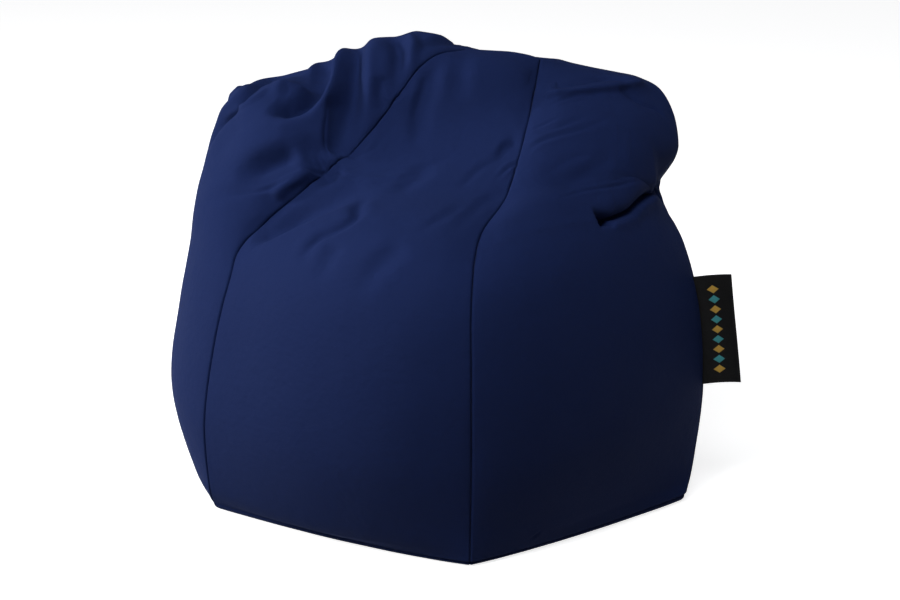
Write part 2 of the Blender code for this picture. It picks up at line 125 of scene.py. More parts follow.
# The six seams, from left front round by the right: bearing in degrees from the front, reach
# from the level's middle, height, and how far each panel swells out between its seams.
LEVELS = (
    Level("base seam", (0.000, 0.000), (-57, 5, 62.5, 125, 185, 245),
          (0.395, 0.413, 0.397, 0.388, 0.388, 0.388),
          (0.012, 0.007, 0.012, 0.012, 0.012, 0.012),
          (0.015, 0.011, 0.018, 0.018, 0.018, 0.018), 14),
    Level("foot", (0.000, 0.000), (-55, 5, 67, 125, 185, 245),
          (0.408, 0.416, 0.394, 0.398, 0.400, 0.402),
          (0.050, 0.050, 0.045, 0.050, 0.050, 0.050),
          (0.034, 0.028, 0.027, 0.034, 0.034, 0.034), 30),
    Level("belly", (0.000, 0.000), (-54, 5, 72, 126, 186, 246),
          (0.415, 0.427, 0.397, 0.395, 0.410, 0.412),
          (0.150, 0.150, 0.150, 0.150, 0.150, 0.150),
          (0.050, 0.048, 0.028, 0.050, 0.052, 0.052), 32),
    Level("waist", (0.000, 0.000), (-53.5, 5, 74, 127, 187, 247),
          (0.397, 0.425, 0.388, 0.385, 0.400, 0.398),
          (0.260, 0.270, 0.260, 0.265, 0.265, 0.260),
          (0.050, 0.045, 0.022, 0.048, 0.050, 0.050), 32),
    Level("shoulder", (0.000, 0.000), (-54, 5.5, 76, 128, 188, 247),
          (0.368, 0.392, 0.362, 0.368, 0.385, 0.383),
          (0.345, 0.375, 0.350, 0.370, 0.370, 0.350),
          (0.045, 0.040, 0.018, 0.046, 0.048, 0.050), 34),
    Level("brow", (0.000, 0.000), (-57, 9, 80, 129, 189, 247),
          (0.330, 0.310, 0.332, 0.350, 0.362, 0.372),
          (0.393, 0.432, 0.400, 0.430, 0.430, 0.430),
          (0.035, 0.044, 0.008, 0.044, 0.044, 0.056), 38),
    Level("slope", (0.020, 0.020), (-54.5, 16, 83, 130, 190, 246),
          (0.255, 0.240, 0.296, 0.325, 0.325, 0.384),
          (0.462, 0.466, 0.432, 0.470, 0.470, 0.513),
          (0.010, 0.044, 0.030, 0.040, 0.036, 0.076), 36),
    Level("seat", (0.050, 0.060), (-51, 22, 80, 131, 191, 249),
          (0.200, 0.172, 0.301, 0.260, 0.258, 0.350),
          (0.523, 0.528, 0.488, 0.508, 0.510, 0.549),
          (0.000, 0.044, 0.030, 0.034, 0.026, 0.062), 36),
    Level("rise", (0.075, 0.110), (-42, 25, 80, 133, 195, 256),
          (0.153, 0.135, 0.245, 0.190, 0.180, 0.245),
          (0.613, 0.575, 0.566, 0.535, 0.538, 0.566),
          (0.016, 0.014, 0.010, 0.022, 0.018, 0.044), 26),
    Level("cap edge", (0.088, 0.145), (-30, 30, 90, 150, 210, 270),
          (0.110, 0.110, 0.110, 0.110, 0.110, 0.110),
          (0.623, 0.609, 0.580, 0.556, 0.560, 0.592),
          (0.006, 0.006, 0.006, 0.006, 0.006, 0.010), 0),
)
PEAK = (0.57, 0.46, 0.50, 0.50, 0.50, 0.56)

MAIN_FOLDS = (
    Fold("far valley", LEFT,
         ((.33, 5.50), (.40, 5.80), (.44, 6.05), (.43, 6.30), (.37, 6.55), (.29, 6.75), (.20, 6.9)),
         .028, .040, .020, Kind.TROUGH, .15, .2),
    Fold("far lobe", LEFT, ((.14, 6.05), (.17, 6.25), (.19, 6.40)),
         .018, .008, .000, Kind.BUMP, .3, .3),
    Fold("far top", LEFT, ((.15, 6.65), (.20, 6.95), (.26, 7.22), (.30, 7.45)),
         .036, .018, .000, Kind.DENT, .3, .3),
    Fold("shoulder slope", LEFT, ((.52, 5.2), (.54, 5.7), (.56, 6.2)),
         .040, .008, .000, Kind.DENT, .4, .4),
    Fold("hump crest", LEFT, ((.45, 7.05), (.53, 6.78), (.58, 6.55), (.62, 6.33)),
         .014, .009, .000, Kind.RIDGE, .3, .3),
    Fold("hump hollow", LEFT,
         ((.636, 6.30), (.71, 6.40), (.73, 6.63), (.71, 6.87), (.645, 7.14), (.52, 7.38),
          (.40, 7.53), (.31, 7.62), (.20, 7.70), (.10, 7.76)),
         .024, .028, .000, Kind.TROUGH, .12, .6),
    Fold("hump hollow back", LEFT,
         ((.60, 6.72), (.53, 6.98), (.45, 7.20), (.36, 7.42), (.22, 7.58)),
         .030, .022, .000, Kind.DENT, .2, .5),
    Fold("hump hollow ridge", LEFT,
         ((.77, 6.44), (.775, 6.74), (.75, 7.0), (.68, 7.28), (.56, 7.52), (.42, 7.72),
          (.30, 7.84), (.18, 7.92)),
         .016, .012, .000, Kind.RIDGE, .2, .75),
    Fold("hump band", LEFT,
         ((.24, 8.04), (.43, 7.87), (.60, 7.68), (.78, 7.36), (.89, 7.03), (.97, 6.70), (.99, 6.5)),
         .024, .027, .000, Kind.TROUGH, .40, .1),
    Fold("hump light band", LEFT, ((.50, 8.04), (.71, 7.80), (.85, 7.50), (.91, 7.30), (.97, 7.0)),
         .015, .005, .000, Kind.RIDGE, .5, .3),
    Fold("crown hollow", LEFT, ((.64, 8.16), (.83, 7.96), (.91, 7.80), (.97, 7.61), (1.0, 7.40)),
         .016, .013, .000, Kind.TROUGH, .2, .2),
    Fold("crown small hollow", LEFT, ((.90, 7.58), (.93, 7.48), (.97, 7.35), (1.0, 7.23)),
         .012, .006, .000, Kind.TROUGH, .2, .2),
    Fold("crown rim", LEFT, ((.68, 8.21), (.86, 8.13), (.95, 7.94), (.99, 7.72)),
         .011, .008, .000, Kind.RIDGE, .3, .3),
    Fold("crown peak", LEFT, ((.88, 8.7), (.70, 8.6), (.50, 8.4)),
         .040, .012, .000, Kind.BUMP, .3, .3),
    Fold("low hollow", LEFT, ((.78, 5.35), (.84, 5.65), (.885, 5.9), (.92, 6.15)),
         .026, .019, .000, Kind.TROUGH, .4, .3),
    Fold("low crease", LEFT, ((.68, 4.9), (.86, 5.35), (.97, 5.95)),
         .017, .004, .002, Kind.TROUGH, .5, .3),
    Fold("seam pinch", LEFT, ((.84, 6.2), (.94, 6.25), (1.03, 6.15)),
         .020, .018, .000, Kind.TROUGH, .6, .0),
    Fold("seat edge hollow", SEAT, ((.00, 5.0), (.13, 5.3), (.38, 5.95)),
         .030, .018, .000, Kind.TROUGH, .3, .5),
    Fold("seat long", SEAT,
         ((.05, 8.2), (.12, 7.85), (.18, 7.57), (.225, 7.30), (.30, 7.04), (.385, 6.60)),
         .018, .006, .000, Kind.TROUGH, .3, .3),
    Fold("seat short", SEAT, ((.12, 8.74), (.24, 8.28), (.32, 7.94), (.40, 7.68), (.50, 7.42)),
         .018, .004, .000, Kind.TROUGH, .2, .3),
    Fold("seat middle", SEAT, ((.52, 6.52), (.53, 6.25), (.51, 6.06), (.50, 5.70)),
         .020, .005, .000, Kind.TROUGH, .4, .3),
    Fold("seat wandering", SEAT,
         ((.37, 5.80), (.42, 5.45), (.49, 5.12), (.455, 4.86), (.395, 4.71), (.365, 4.45), (.355, 4.1)),
         .015, .0065, .002, Kind.TROUGH, .2, .3),
    Fold("seat low left", SEAT, ((.50, 4.55), (.475, 4.3), (.44, 3.9)),
         .018, .0035, .000, Kind.TROUGH, .4, .4),
    Fold("seat low middle", SEAT, ((.76, 4.60), (.70, 4.30), (.59, 3.75)),
         .022, .0045, .000, Kind.TROUGH, .4, .4),
    Fold("seat right", SEAT, ((.99, 7.1), (.92, 6.65), (.86, 6.2)),
         .018, .003, .000, Kind.TROUGH, .3, .5),
    Fold("right pinch", RIGHT,
         ((1.10, 6.1), (1.00, 6.04), (.94, 5.86), (.86, 5.48), (.73, 5.12), (.64, 4.90), (.51, 4.74)),
         .014, .018, .012, Kind.TROUGH, .30, .10),
    Fold("right lobe belly", RIGHT,
         ((.90, 6.35), (.80, 6.10), (.68, 5.85), (.52, 5.60), (.36, 5.40)),
         .040, .014, .000, Kind.BUMP, .25, .4),
    Fold("right lobe edge", RIGHT, ((.62, 5.30), (.74, 5.50), (.84, 5.80), (.92, 6.02)),
         .020, .003, .000, Kind.BUMP, .3, .2),
    Fold("pinch end", RIGHT, ((.50, 4.75), (.585, 4.72)),
         .009, .022, .000, Kind.DENT, .1, .1),
    Fold("right high crease", RIGHT,
         ((.95, 8.05), (.61, 7.83), (.46, 7.79), (.18, 7.78), (.06, 7.66)),
         .024, .010, .000, Kind.RIDGE, .15, .2),
    Fold("right hanging crease", RIGHT,
         ((.60, 7.80), (.64, 7.68), (.72, 7.53), (.83, 7.49), (.92, 7.38)),
         .012, .003, .001, Kind.TROUGH, .3, .4),
    Fold("right back first", RIGHT_BACK, ((.32, 7.4), (.45, 6.4), (.42, 5.3)),
         .024, .016, .006, Kind.TROUGH, .4, .5),
    Fold("right back second", RIGHT_BACK, ((.75, 7.1), (.66, 6.1), (.72, 5.1)),
         .022, .013, .000, Kind.TROUGH, .4, .5),
    Fold("back first", BACK, ((.20, 7.5), (.34, 6.4), (.27, 5.2)),
         .024, .016, .006, Kind.TROUGH, .4, .5),
    Fold("back second", BACK, ((.68, 7.3), (.60, 6.3), (.71, 4.9)),
         .026, .017, .006, Kind.TROUGH, .4, .5),
    Fold("left back first", LEFT_BACK, ((.28, 7.3), (.38, 6.2), (.32, 5.2)),
         .024, .014, .000, Kind.TROUGH, .4, .5),
    Fold("left back second", LEFT_BACK, ((.66, 7.7), (.66, 6.6), (.54, 5.3)),
         .026, .017, .006, Kind.TROUGH, .4, .5),
)

PHOTO_CREASES = (
    PhotoCrease("hump dark slope", ((320, 58), (320, 74), (316, 88), (307, 97)),
                .016, .006, Kind.DENT, .0, .5),
    PhotoCrease("hump foot slope", ((340, 88), (335, 112), (333, 138), (334, 160)),
                .024, .009, Kind.DENT, .3, .2),
    PhotoCrease("far edge", ((221, 121), (240, 108), (258, 96), (271, 86)),
                .007, .004, Kind.RIDGE, .2, .2),
    PhotoCrease("seam wedge", ((274, 200), (280, 192), (290, 183), (303, 176), (318, 174)),
                .012, .009, Kind.RIDGE, .2, .3),
    PhotoCrease("hump fan first", ((326, 174), (320, 160), (314, 146)),
                .006, .005, Kind.TROUGH, .1, .5),
    PhotoCrease("hump dark line", ((326, 168), (326, 140), (328, 112), (334, 90)),
                .006, .003, Kind.TROUGH, .3, .6),
    PhotoCrease("hump fan second", ((336, 164), (328, 155), (322, 148)), .004, .002,
                Kind.CREASE, .1, .6),
    PhotoCrease("hump fan third", ((344, 156), (336, 148), (330, 144)), .004, .0015,
                Kind.CREASE, .1, .6),
    PhotoCrease("low crease line", ((222, 195), (256, 192), (282, 184), (306, 174)),
                .005, .003, Kind.CREASE, .4, .3),
    PhotoCrease("pinch line", ((300, 166), (312, 171), (324, 175)), .004, .004,
                Kind.CREASE, .5, .1),
    PhotoCrease("crown small fold", ((383, 86), (388, 98), (396, 104)), .005, .003,
                Kind.RIDGE, .3, .4),
    PhotoCrease("seam tuck", ((393, 102), (398, 98), (404, 94)), .004, .003, Kind.CREASE, .3, .3),
    PhotoCrease("seam tuck above", ((395, 96), (400, 93), (405, 90)), .003, .002,
                Kind.CREASE, .3, .3),
    PhotoCrease("seat long floor", ((426, 66), (424, 90), (418, 112), (415, 150)), .010, .002,
                Kind.TROUGH, .3, .4),
    PhotoCrease("seat fan first", ((334, 172), (352, 178), (366, 176)), .005, .002,
                Kind.CREASE, .1, .6),
    PhotoCrease("seat fan second", ((336, 168), (350, 170), (362, 168)), .004, .002,
                Kind.CREASE, .1, .6),
    PhotoCrease("seat right pucker", ((518, 164), (508, 168), (494, 182)), .005, .003,
                Kind.CREASE, .1, .6),
    PhotoCrease("seat right soft", ((516, 142), (504, 148), (496, 166)), .008, .004,
                Kind.TROUGH, .2, .6),
    PhotoCrease("right thin high", ((544, 108), (575, 96), (612, 90)), .005, .0025, Kind.CREASE),
    PhotoCrease("right thin middle", ((526, 150), (548, 138), (590, 126), (620, 112)),
                .006, .0025, Kind.CREASE, .2, .6),
    PhotoCrease("right thin low", ((528, 132), (545, 124), (566, 114)), .004, .002,
                Kind.CREASE, .2, .6),
    PhotoCrease("right low line", ((548, 202), (580, 192), (616, 186), (650, 178)),
                .004, .0012, Kind.CREASE, .4, .3),
    PhotoCrease("right high line", ((542, 98), (560, 92), (600, 88), (622, 85), (646, 81)),
                .007, .005, Kind.RIDGE, .1, .1),
    PhotoCrease("right high foot", ((545, 86), (575, 81), (610, 78), (640, 77)),
                .012, .008, Kind.DENT, .2, .2),
    PhotoCrease("right hanging line", ((616, 86), (625, 94), (640, 104), (655, 109), (668, 120)),
                .004, .002, Kind.CREASE, .2, .2),
    PhotoCrease("right soft valley", ((545, 195), (575, 180), (600, 165), (625, 140)),
                .016, .003, Kind.TROUGH, .4, .5),
    PhotoCrease("right streak first", ((548, 132), (570, 122), (592, 113)), .006, .0012,
                Kind.TROUGH, .4, .4),
    PhotoCrease("right streak second", ((556, 106), (585, 98), (612, 88)), .006, .0012,
                Kind.TROUGH, .4, .4),
    PhotoCrease("right streak third", ((540, 176), (570, 160), (600, 150)), .008, .0014,
                Kind.TROUGH, .4, .4),
    PhotoCrease("seat streak first", ((340, 170), (380, 173), (430, 165), (455, 152)),
                .010, .0018, Kind.TROUGH, .4, .5),
    PhotoCrease("seat streak second", ((345, 160), (372, 150), (385, 130)), .008, .0015,
                Kind.TROUGH, .4, .5),
    PhotoCrease("seat streak third", ((360, 185), (400, 178), (445, 165)), .010, .0018,
                Kind.TROUGH, .4, .5),
    PhotoCrease("seat streak fourth", ((445, 240), (480, 205), (505, 190)), .012, .0020,
                Kind.TROUGH, .4, .4),
    PhotoCrease("seat streak fifth", ((415, 235), (445, 215), (470, 200)), .012, .0018,
                Kind.TROUGH, .4, .4),
    PhotoCrease("seat streak sixth", ((455, 195), (478, 170), (500, 158)), .010, .0018,
                Kind.TROUGH, .4, .3),
    PhotoCrease("base crease", ((527, 541), (536, 535), (544, 528)), .004, .002, Kind.CREASE),
)


def ease(value: Array) -> Array:
    """0 below 0, 1 above 1, and a soft rise between."""
    held = np.clip(value, 0.0, 1.0)
    return held * held * (3.0 - 2.0 * held)


def unit(vectors: Array) -> Array:
    """The vectors at length one."""
    return vectors / np.maximum(np.linalg.norm(vectors, axis=-1, keepdims=True), 1e-12)


def smooth_line(knots: Any, places: Array) -> Array:
    """A smooth line through the knots, read at places counted in knots.

    Args:
        knots: values or points, one after the other.
        places: where to read it; 2.5 lies half way from the third knot to the fourth.

    Returns:
        One value or point for each place.
    """
    given = np.asarray(knots, dtype=float)
    line = np.concatenate([[2.0 * given[0] - given[1]], given, [2.0 * given[-1] - given[-2]]])
    low = np.clip(places.astype(int), 0, len(given) - 2)
    t = (places - low).reshape((-1,) + (1,) * (given.ndim - 1))
    p0, p1, p2, p3 = (line[low + i] for i in range(4))
    return 0.5 * (2.0 * p1 + (p2 - p0) * t + (2.0 * p0 - 5.0 * p1 + 4.0 * p2 - p3) * t ** 2
                  + (3.0 * p1 - p0 - 3.0 * p2 + p3) * t ** 3)


def soft_noise(points: Array, cell: float, seed: int) -> Array:
    """Smooth noise from -1 to 1 with bumps about one cell across.

    Args:
        points: places, in metres, of any leading shape.
        cell: size of a bump, in metres.
        seed: picks the noise.

    Returns:
        One value for each point.
    """
    grain = np.random.default_rng(seed).uniform(-1.0, 1.0, (NOISE_CELLS,) * 3)
    place = points / cell + NOISE_SHIFT
    low = np.floor(place).astype(int)
    t = place - low
    t = t * t * (3.0 - 2.0 * t)
    total = np.zeros(points.shape[:-1])
    for corner in range(2 ** 3):
        step = np.array([corner & 1, corner >> 1 & 1, corner >> 2 & 1])
        share = np.prod(np.where(step == 1, t, 1.0 - t), axis=-1)
        i, j, k = np.moveaxis((low + step) % NOISE_CELLS, -1, 0)
        total += share * grain[i, j, k]
    return total


@dataclass
class View:
    """The photograph's camera, fitted to the bag's base corners, seams and outline."""

    target: tuple[float, float, float] = (0.009, 0.0, 0.251)
    distance: float = 3.0
    elevation: float = 17.0
    lens: float = 79.68
    sensor: float = 36.0

    @property
    def place(self) -> Array:
        """Where the camera stands."""
        turn = math.radians(self.elevation)
        away = np.array((0.0, -math.cos(turn), math.sin(turn)))
        return np.array(self.target) + self.distance * away

    def ray(self, pixel: Pair) -> Array:
        """The line of sight through a pixel of the photograph.

        Args:
            pixel: its column and row.

        Returns:
            The direction from the camera, at length one.
        """
        turn = math.radians(self.elevation)
        forward = np.array((0.0, math.cos(turn), -math.sin(turn)))
        upward = np.array((0.0, math.sin(turn), math.cos(turn)))
        span = PHOTO_SIZE[0] * self.lens / self.sensor
        right = (pixel[0] - PHOTO_SIZE[0] / 2) / span
        up = (PHOTO_SIZE[1] / 2 - pixel[1]) / span
        return unit(forward + np.array((right, 0.0, 0.0)) + upward * up)

    def make(self) -> bpy.types.Object:
        """Put the camera in the scene and make it the scene's own.

        Returns:
            The camera.
        """
        data = bpy.data.cameras.new("view")
        data.lens = self.lens
        data.sensor_width = self.sensor
        camera = bpy.data.objects.new("view", data)
        bpy.context.scene.collection.objects.link(camera)
        camera.location = Vector(self.place)
        aim = Vector(self.target) - camera.location
        camera.rotation_euler = aim.to_track_quat("-Z", "Y").to_euler()
        bpy.context.scene.camera = camera
        return camera


@dataclass
class Form:
    """The bag's surface: six seams, the crowned panels between them, and their folds."""

    levels: tuple[Level, ...] = LEVELS
    peaks: tuple[float, ...] = PEAK
    edge_roundness: float = 0.85
    seam_hold: float = 0.35
    seam_reach: float = 0.14
    columns: int = 120
    edge_steps: tuple[float, ...] = (0.0, .0003, .0007, .0012, .0018, .0025, .0034, .0046, .0065)
    first_gap: float = 1.2
    end_rows: tuple[float, ...] = (0.0, 0.006, 0.014, 0.025, 0.040, 0.058, 0.082, 0.11)
    top_row_scale: float = 0.7
    even_rows: Pair = (0.13, 0.90)
    level_step: float = 0.02
    upright_level: float = 0.5
    short_of_top: float = 0.001
    path_points: int = 26
    ups: Array = field(init=False)

    def __post_init__(self) -> None:
        """Work out the rows, finer beside the base seam and the top panel's seam."""
        last = [1.0 - step * self.top_row_scale for step in reversed(self.end_rows)]
        rows = []
        for i, level in enumerate(self.levels[:-1]):
            inner = np.arange(level.rows) / level.rows
            if i == 0:
                inner = np.concatenate([self.end_rows, inner[inner > self.even_rows[0]]])
            if i == len(self.levels) - 2:
                inner = np.concatenate([inner[inner < self.even_rows[1]], last])
            rows.append(inner + i)
        self.ups = np.concatenate(rows)

    def seam(self, k: int, ups: Array) -> Array:
        """The line of a seam before any fold.

        Args:
            k: the seam, on the left of panel k.
            ups: levels up.

        Returns:
            A point for each of ups.
        """
        points = []
        for level in self.levels:
            turn = math.radians(level.bearing[k % SIDES])
            points.append((level.middle[0] + level.reach[k % SIDES] * math.sin(turn),
                           level.middle[1] - level.reach[k % SIDES] * math.cos(turn),
                           level.height[k % SIDES]))
        return smooth_line(points, ups)

    def crowned(self, k: int, ups: Array, share: Array) -> Array:
        """Points of panel k before its folds.

        Args:
            k: the panel.
            ups: levels up, one for each row.
            share: where across the panel, a row of values for each of ups.

        Returns:
            Rows of points.
        """
        def flat(at: Array) -> Array:
            """The straight surface between the panel's seams."""
            left, right = self.seam(k, at), self.seam(k + 1, at)
            return left[:, None] * (1.0 - share)[..., None] + right[:, None] * share[..., None]

        top = len(self.levels) - 1.0
        high = np.minimum(ups + self.level_step, top)
        low = np.maximum(ups - self.level_step, 0.0)
        sideways = (self.seam(k + 1, ups) - self.seam(k, ups))[:, None]
        outward = np.cross(np.broadcast_to(sideways, share.shape + (3,)), flat(high) - flat(low))
        outward[..., 2] *= np.clip(ups / self.upright_level, 0.0, 1.0)[:, None]
        swell = smooth_line([level.swell[k] for level in self.levels], ups)
        lean = share ** (math.log(0.5) / math.log(self.peaks[k]))
        crown = np.maximum(4.0 * lean * (1.0 - lean), 0.0) ** self.edge_roundness
        return flat(ups) + unit(outward) * (swell[:, None] * crown)[..., None]

    def place(self, panel: int, across: float, up: float) -> Array:
        """The point of the crowned bag at a place given in panel measures.

        Args:
            panel: the panel.
            across: share of its width from its left seam, and beyond 1 on the next panel.
            up: levels up.

        Returns:
            The point.
        """
        k = (panel + math.floor(across)) % SIDES
        inside = np.array([[across - math.floor(across)]])
        held = np.array([min(max(up, 0.0), len(self.levels) - 1.0 - self.short_of_top)])
        return self.crowned(k, held, inside)[0, 0]

    def shares(self, k: int) -> Array:
        """Where the columns of a panel lie, closer together beside its seams.

        Args:
            k: the panel.

        Returns:
            Shares of the panel's width, one list for each row.
        """
        width = np.linalg.norm(self.seam(k + 1, self.ups) - self.seam(k, self.ups), axis=1)
        edge = np.array(self.edge_steps)[None] / width[:, None]
        start = (1.0 + self.first_gap) * edge[:, -1:] - self.first_gap * edge[:, -2:-1]
        middle = start + (1.0 - 2.0 * start) * np.linspace(0.0, 1.0, self.columns)[None]
        return np.concatenate([edge, middle, 1.0 - edge[:, ::-1]], axis=1)

    def fold_path(self, fold: Fold) -> Array:
        """The line of a main fold, as points on the crowned bag."""
        places = np.linspace(0.0, len(fold.path) - 1.0, self.path_points)
        knots = smooth_line(fold.path, places)
        return np.array([self.place(fold.panel, across, up) for across, up in knots])


def profile(kind: Kind, x: Array) -> Array:
    """How high a fold stands beside its line.

    Args:
        kind: the kind of fold.
        x: distance from its line, in widths.

    Returns:
        Height at each x, in depths, below zero for a hollow.
    """
    if kind is Kind.TROUGH:
        return -(1.0 - TROUGH_RETURN * x ** 2) * np.exp(-x ** 2)
    if kind is Kind.RIDGE:
        return (1.0 - RIDGE_RETURN * x ** 2) * np.exp(-x ** 2)
    if kind is Kind.DENT:
        return -np.exp(-x ** 2)
    if kind is Kind.CREASE:
        height, middle, width = CREASE_SHOULDER
        return -np.exp(-CREASE_RISE * x) + height * np.exp(-((x - middle) / width) ** 2)
    return np.exp(-x ** 2)


def edge_sink(away: Any, radius: float) -> Any:
    """How far a rounded edge has dropped, at a distance from it of up to its radius."""
    return radius - np.sqrt(np.maximum(radius ** 2 - (radius - away) ** 2, 0.0))


def fold_moves(path: Array, fold: Any, points: Array, normals: Array, free: Array,
               hold: float) -> Array:
    """How far one fold moves each point.

    Args:
        path: points along the fold's line.
        fold: its width, depth, lip, kind and fades.
        points: the points to move, as one list.
        normals: the outward direction at each.
        free: 0 on a seam, which holds the fold back, and 1 clear of it.
        hold: share of the depth that a seam lets through.

    Returns:
        The move of each point.
    """
    moves = np.zeros_like(points)
    reach = fold.width * FOLD_REACH
    inside = np.all((points > path.min(0) - reach) & (points < path.max(0) + reach), axis=1)
    chosen = np.flatnonzero(inside)
    if not len(chosen):
        return moves
    here, facing, loose = points[chosen], normals[chosen], free[chosen]
    nearest = np.full(len(here), np.inf)
    along = np.zeros(len(here))
    foot = np.zeros_like(here)
    heading = np.zeros_like(here)
    pieces = len(path) - 1
    for i in range(pieces):
        piece = path[i + 1] - path[i]
        length = max(np.linalg.norm(piece), 1e-9)
        share = np.clip((here - path[i]) @ piece / length ** 2, 0.0, 1.0)
        spot = path[i] + share[:, None] * piece
        away = np.linalg.norm(here - spot, axis=1)
        closer = away < nearest
        nearest[closer] = away[closer]
        along[closer] = (i + share[closer]) / pieces
        foot[closer] = spot[closer]
        heading[closer] = piece / length
    x = nearest / fold.width
    fade = np.ones(len(here))
    if fold.fade_in:
        fade *= ease(along / fold.fade_in)
    if fold.fade_out:
        fade *= ease((1.0 - along) / fold.fade_out)
    aside = np.cross(heading, facing)
    hanging = np.einsum("ij,ij->i", aside, here - foot) > 0.0
    lean = fold.lip * (x / LIP_PLACE) ** 2 * np.exp(1.0 - (x / LIP_PLACE) ** 2) * hanging
    depth = fold.depth * fade * (hold + (1.0 - hold) * loose)
    change = facing * (depth * profile(fold.kind, x))[:, None]
    change -= aside * (lean * fade * loose)[:, None]
    moves[chosen] = np.where((x < FOLD_REACH)[:, None], change, 0.0)
    return moves


@dataclass
class Cloth:
    """Six folded panels as grids of points, with shared seams."""

    form: Form
    view: View
    seam_radius: float = 0.0028
    seam_half_gap: float = 0.0003
    tuck: float = 0.007
    pucker: float = 0.0011
    pucker_length: float = 0.015
    pucker_reach: float = 0.007
    pucker_slant: float = 0.6
    pucker_squeeze: float = 0.35
    lower_pucker: float = 0.22
    pucker_seed: int = 31
    ripple: float = 0.0012
    ripple_lengths: Pair = (0.055, 0.026)
    lower_ripple: float = 0.35
    still_reach: float = 0.020
    loose_from: float = 3.6
    loose_over: float = 2.0
    seed: int = 7
    joining_width: float = 0.014
    ray_stride: int = 3
    steps_a_pixel: int = 5
    grids: list[Array] = field(init=False)
    normals: list[Array] = field(init=False)
    shares: list[Array] = field(init=False)

    def __post_init__(self) -> None:
        """Crown, fold, crease and pucker the panels, then turn their edges in."""
        form = self.form
        self.shares = [form.shares(k) for k in range(SIDES)]
        self.grids = [form.crowned(k, form.ups, self.shares[k]) for k in range(SIDES)]
        self.fold_all([(form.fold_path(fold), fold) for fold in MAIN_FOLDS], form.seam_hold)
        self.fold_all(self.photo_paths(), 1.0)
        self.ripple_all()
        self.turn_edges()

    def facing(self) -> list[Array]:
        """Outward directions, brought together at the seams that panels share.

        Returns:
            For each panel, a direction at each of its points.
        """
        found = []
        for grid in self.grids:
            across = np.gradient(grid, axis=1)
            upward = np.gradient(grid, axis=0)
            found.append(unit(np.cross(across, upward)))
        joined = [unit(found[k - 1][:, -1] + found[k][:, 0]) for k in range(SIDES)]
        softened = []
        for k in range(SIDES):
            left = ease(self.distance(k, True) / self.joining_width)[..., None]
            right = ease(self.distance(k, False) / self.joining_width)[..., None]
            mixed = found[k] * left + joined[k][:, None] * (1.0 - left)
            mixed = mixed * right + joined[(k + 1) % SIDES][:, None] * (1.0 - right)
            softened.append(unit(mixed))
        return softened

    def width(self, k: int) -> Array:
        """Width of panel k, row by row."""
        form = self.form
        return np.linalg.norm(form.seam(k + 1, form.ups) - form.seam(k, form.ups), axis=1)

    def distance(self, k: int, from_left: bool) -> Array:
        """How far each point of panel k lies from one of its seams."""
        share = self.shares[k] if from_left else 1.0 - self.shares[k]
        return share * self.width(k)[:, None]

    def fold_all(self, folds: Sequence[tuple[Array, Any]], hold: float) -> None:
        """Lay folds over all panels.

        Args:
            folds: each fold's line and its sizes.
            hold: share of the depth that a seam lets through.
        """
        facing = self.facing()
        for k in range(SIDES):
            points = self.grids[k].reshape(-1, 3)
            normals = facing[k].reshape(-1, 3)
            share = self.shares[k]
            free = ease(np.minimum(share, 1.0 - share) / self.form.seam_reach).ravel()
            moved = points.copy()
            for path, fold in folds:
                moved += fold_moves(path, fold, points, normals, free, hold)
            self.grids[k] = moved.reshape(self.grids[k].shape)

    def photo_paths(self) -> list[tuple[Array, PhotoCrease]]:
        """Cast each photographed crease from the camera onto the folded panels.

        Returns:
            Each crease that meets the bag, after its line on the panels.
        """
        points, faces = [], []
        for whole in self.grids:
            kept = [np.append(np.arange(0, size - 1, self.ray_stride), size - 1)
                    for size in whole.shape[:2]]
            grid = whole[np.ix_(*kept)]
            rows, columns = grid.shape[:2]
            index = np.arange(rows * columns).reshape(rows, columns) + len(points)
            points.extend(map(Vector, grid.reshape(-1, 3)))
            corners = (index[:-1, :-1], index[:-1, 1:], index[1:, 1:], index[1:, :-1])
            faces.extend(np.stack(corners, axis=-1).reshape(-1, 4).tolist())
        surface = BVHTree.FromPolygons(points, faces)
        eye = Vector(self.view.place)
        found = []
        for crease in PHOTO_CREASES:
            count = len(crease.pixels)
            places = np.linspace(0.0, count - 1.0, self.steps_a_pixel * count)
            path = []
            for pixel in smooth_line(crease.pixels, places):
                hit = surface.ray_cast(eye, Vector(self.view.ray(tuple(pixel))))[0]
                if hit is not None:
                    path.append(hit)
            if len(path) > 2:
                found.append((np.array(path), crease))
            else:
                LOG.info("crease %s misses the bag", crease.name)
        return found

    def ripple_all(self) -> None:
        """Soft unevenness of the filling, and puckers where the panels are sewn."""
        facing = self.facing()
        for k in range(SIDES):
            grid, normals = self.grids[k], facing[k]
            upper = ease((self.form.ups - self.loose_from) / self.loose_over)[:, None]
            near = np.minimum(self.distance(k, True), self.distance(k, False))
            still = ease(near / self.still_reach)
            soft = soft_noise(grid, self.ripple_lengths[0], self.seed)
            soft += 0.5 * soft_noise(grid, self.ripple_lengths[1], self.seed + 1)
            lift = soft * still * self.ripple
            lift *= self.lower_ripple + (1.0 - self.lower_ripple) * upper
            for side, left in ((0, True), (1, False)):
                away = self.distance(k, left)
                place = grid.copy()
                place[..., 2] += away * (self.pucker_slant if left else -self.pucker_slant)
                place[..., :2] *= self.pucker_squeeze
                wave = soft_noise(place, self.pucker_length, self.pucker_seed + 2 * k + side)
                fall = (away / self.pucker_reach) * np.exp(1.0 - away / self.pucker_reach)
                loose = self.lower_pucker + (1.0 - self.lower_pucker) * upper
                lift += wave * fall * self.pucker * loose
            self.grids[k] = grid + normals * lift[..., None]

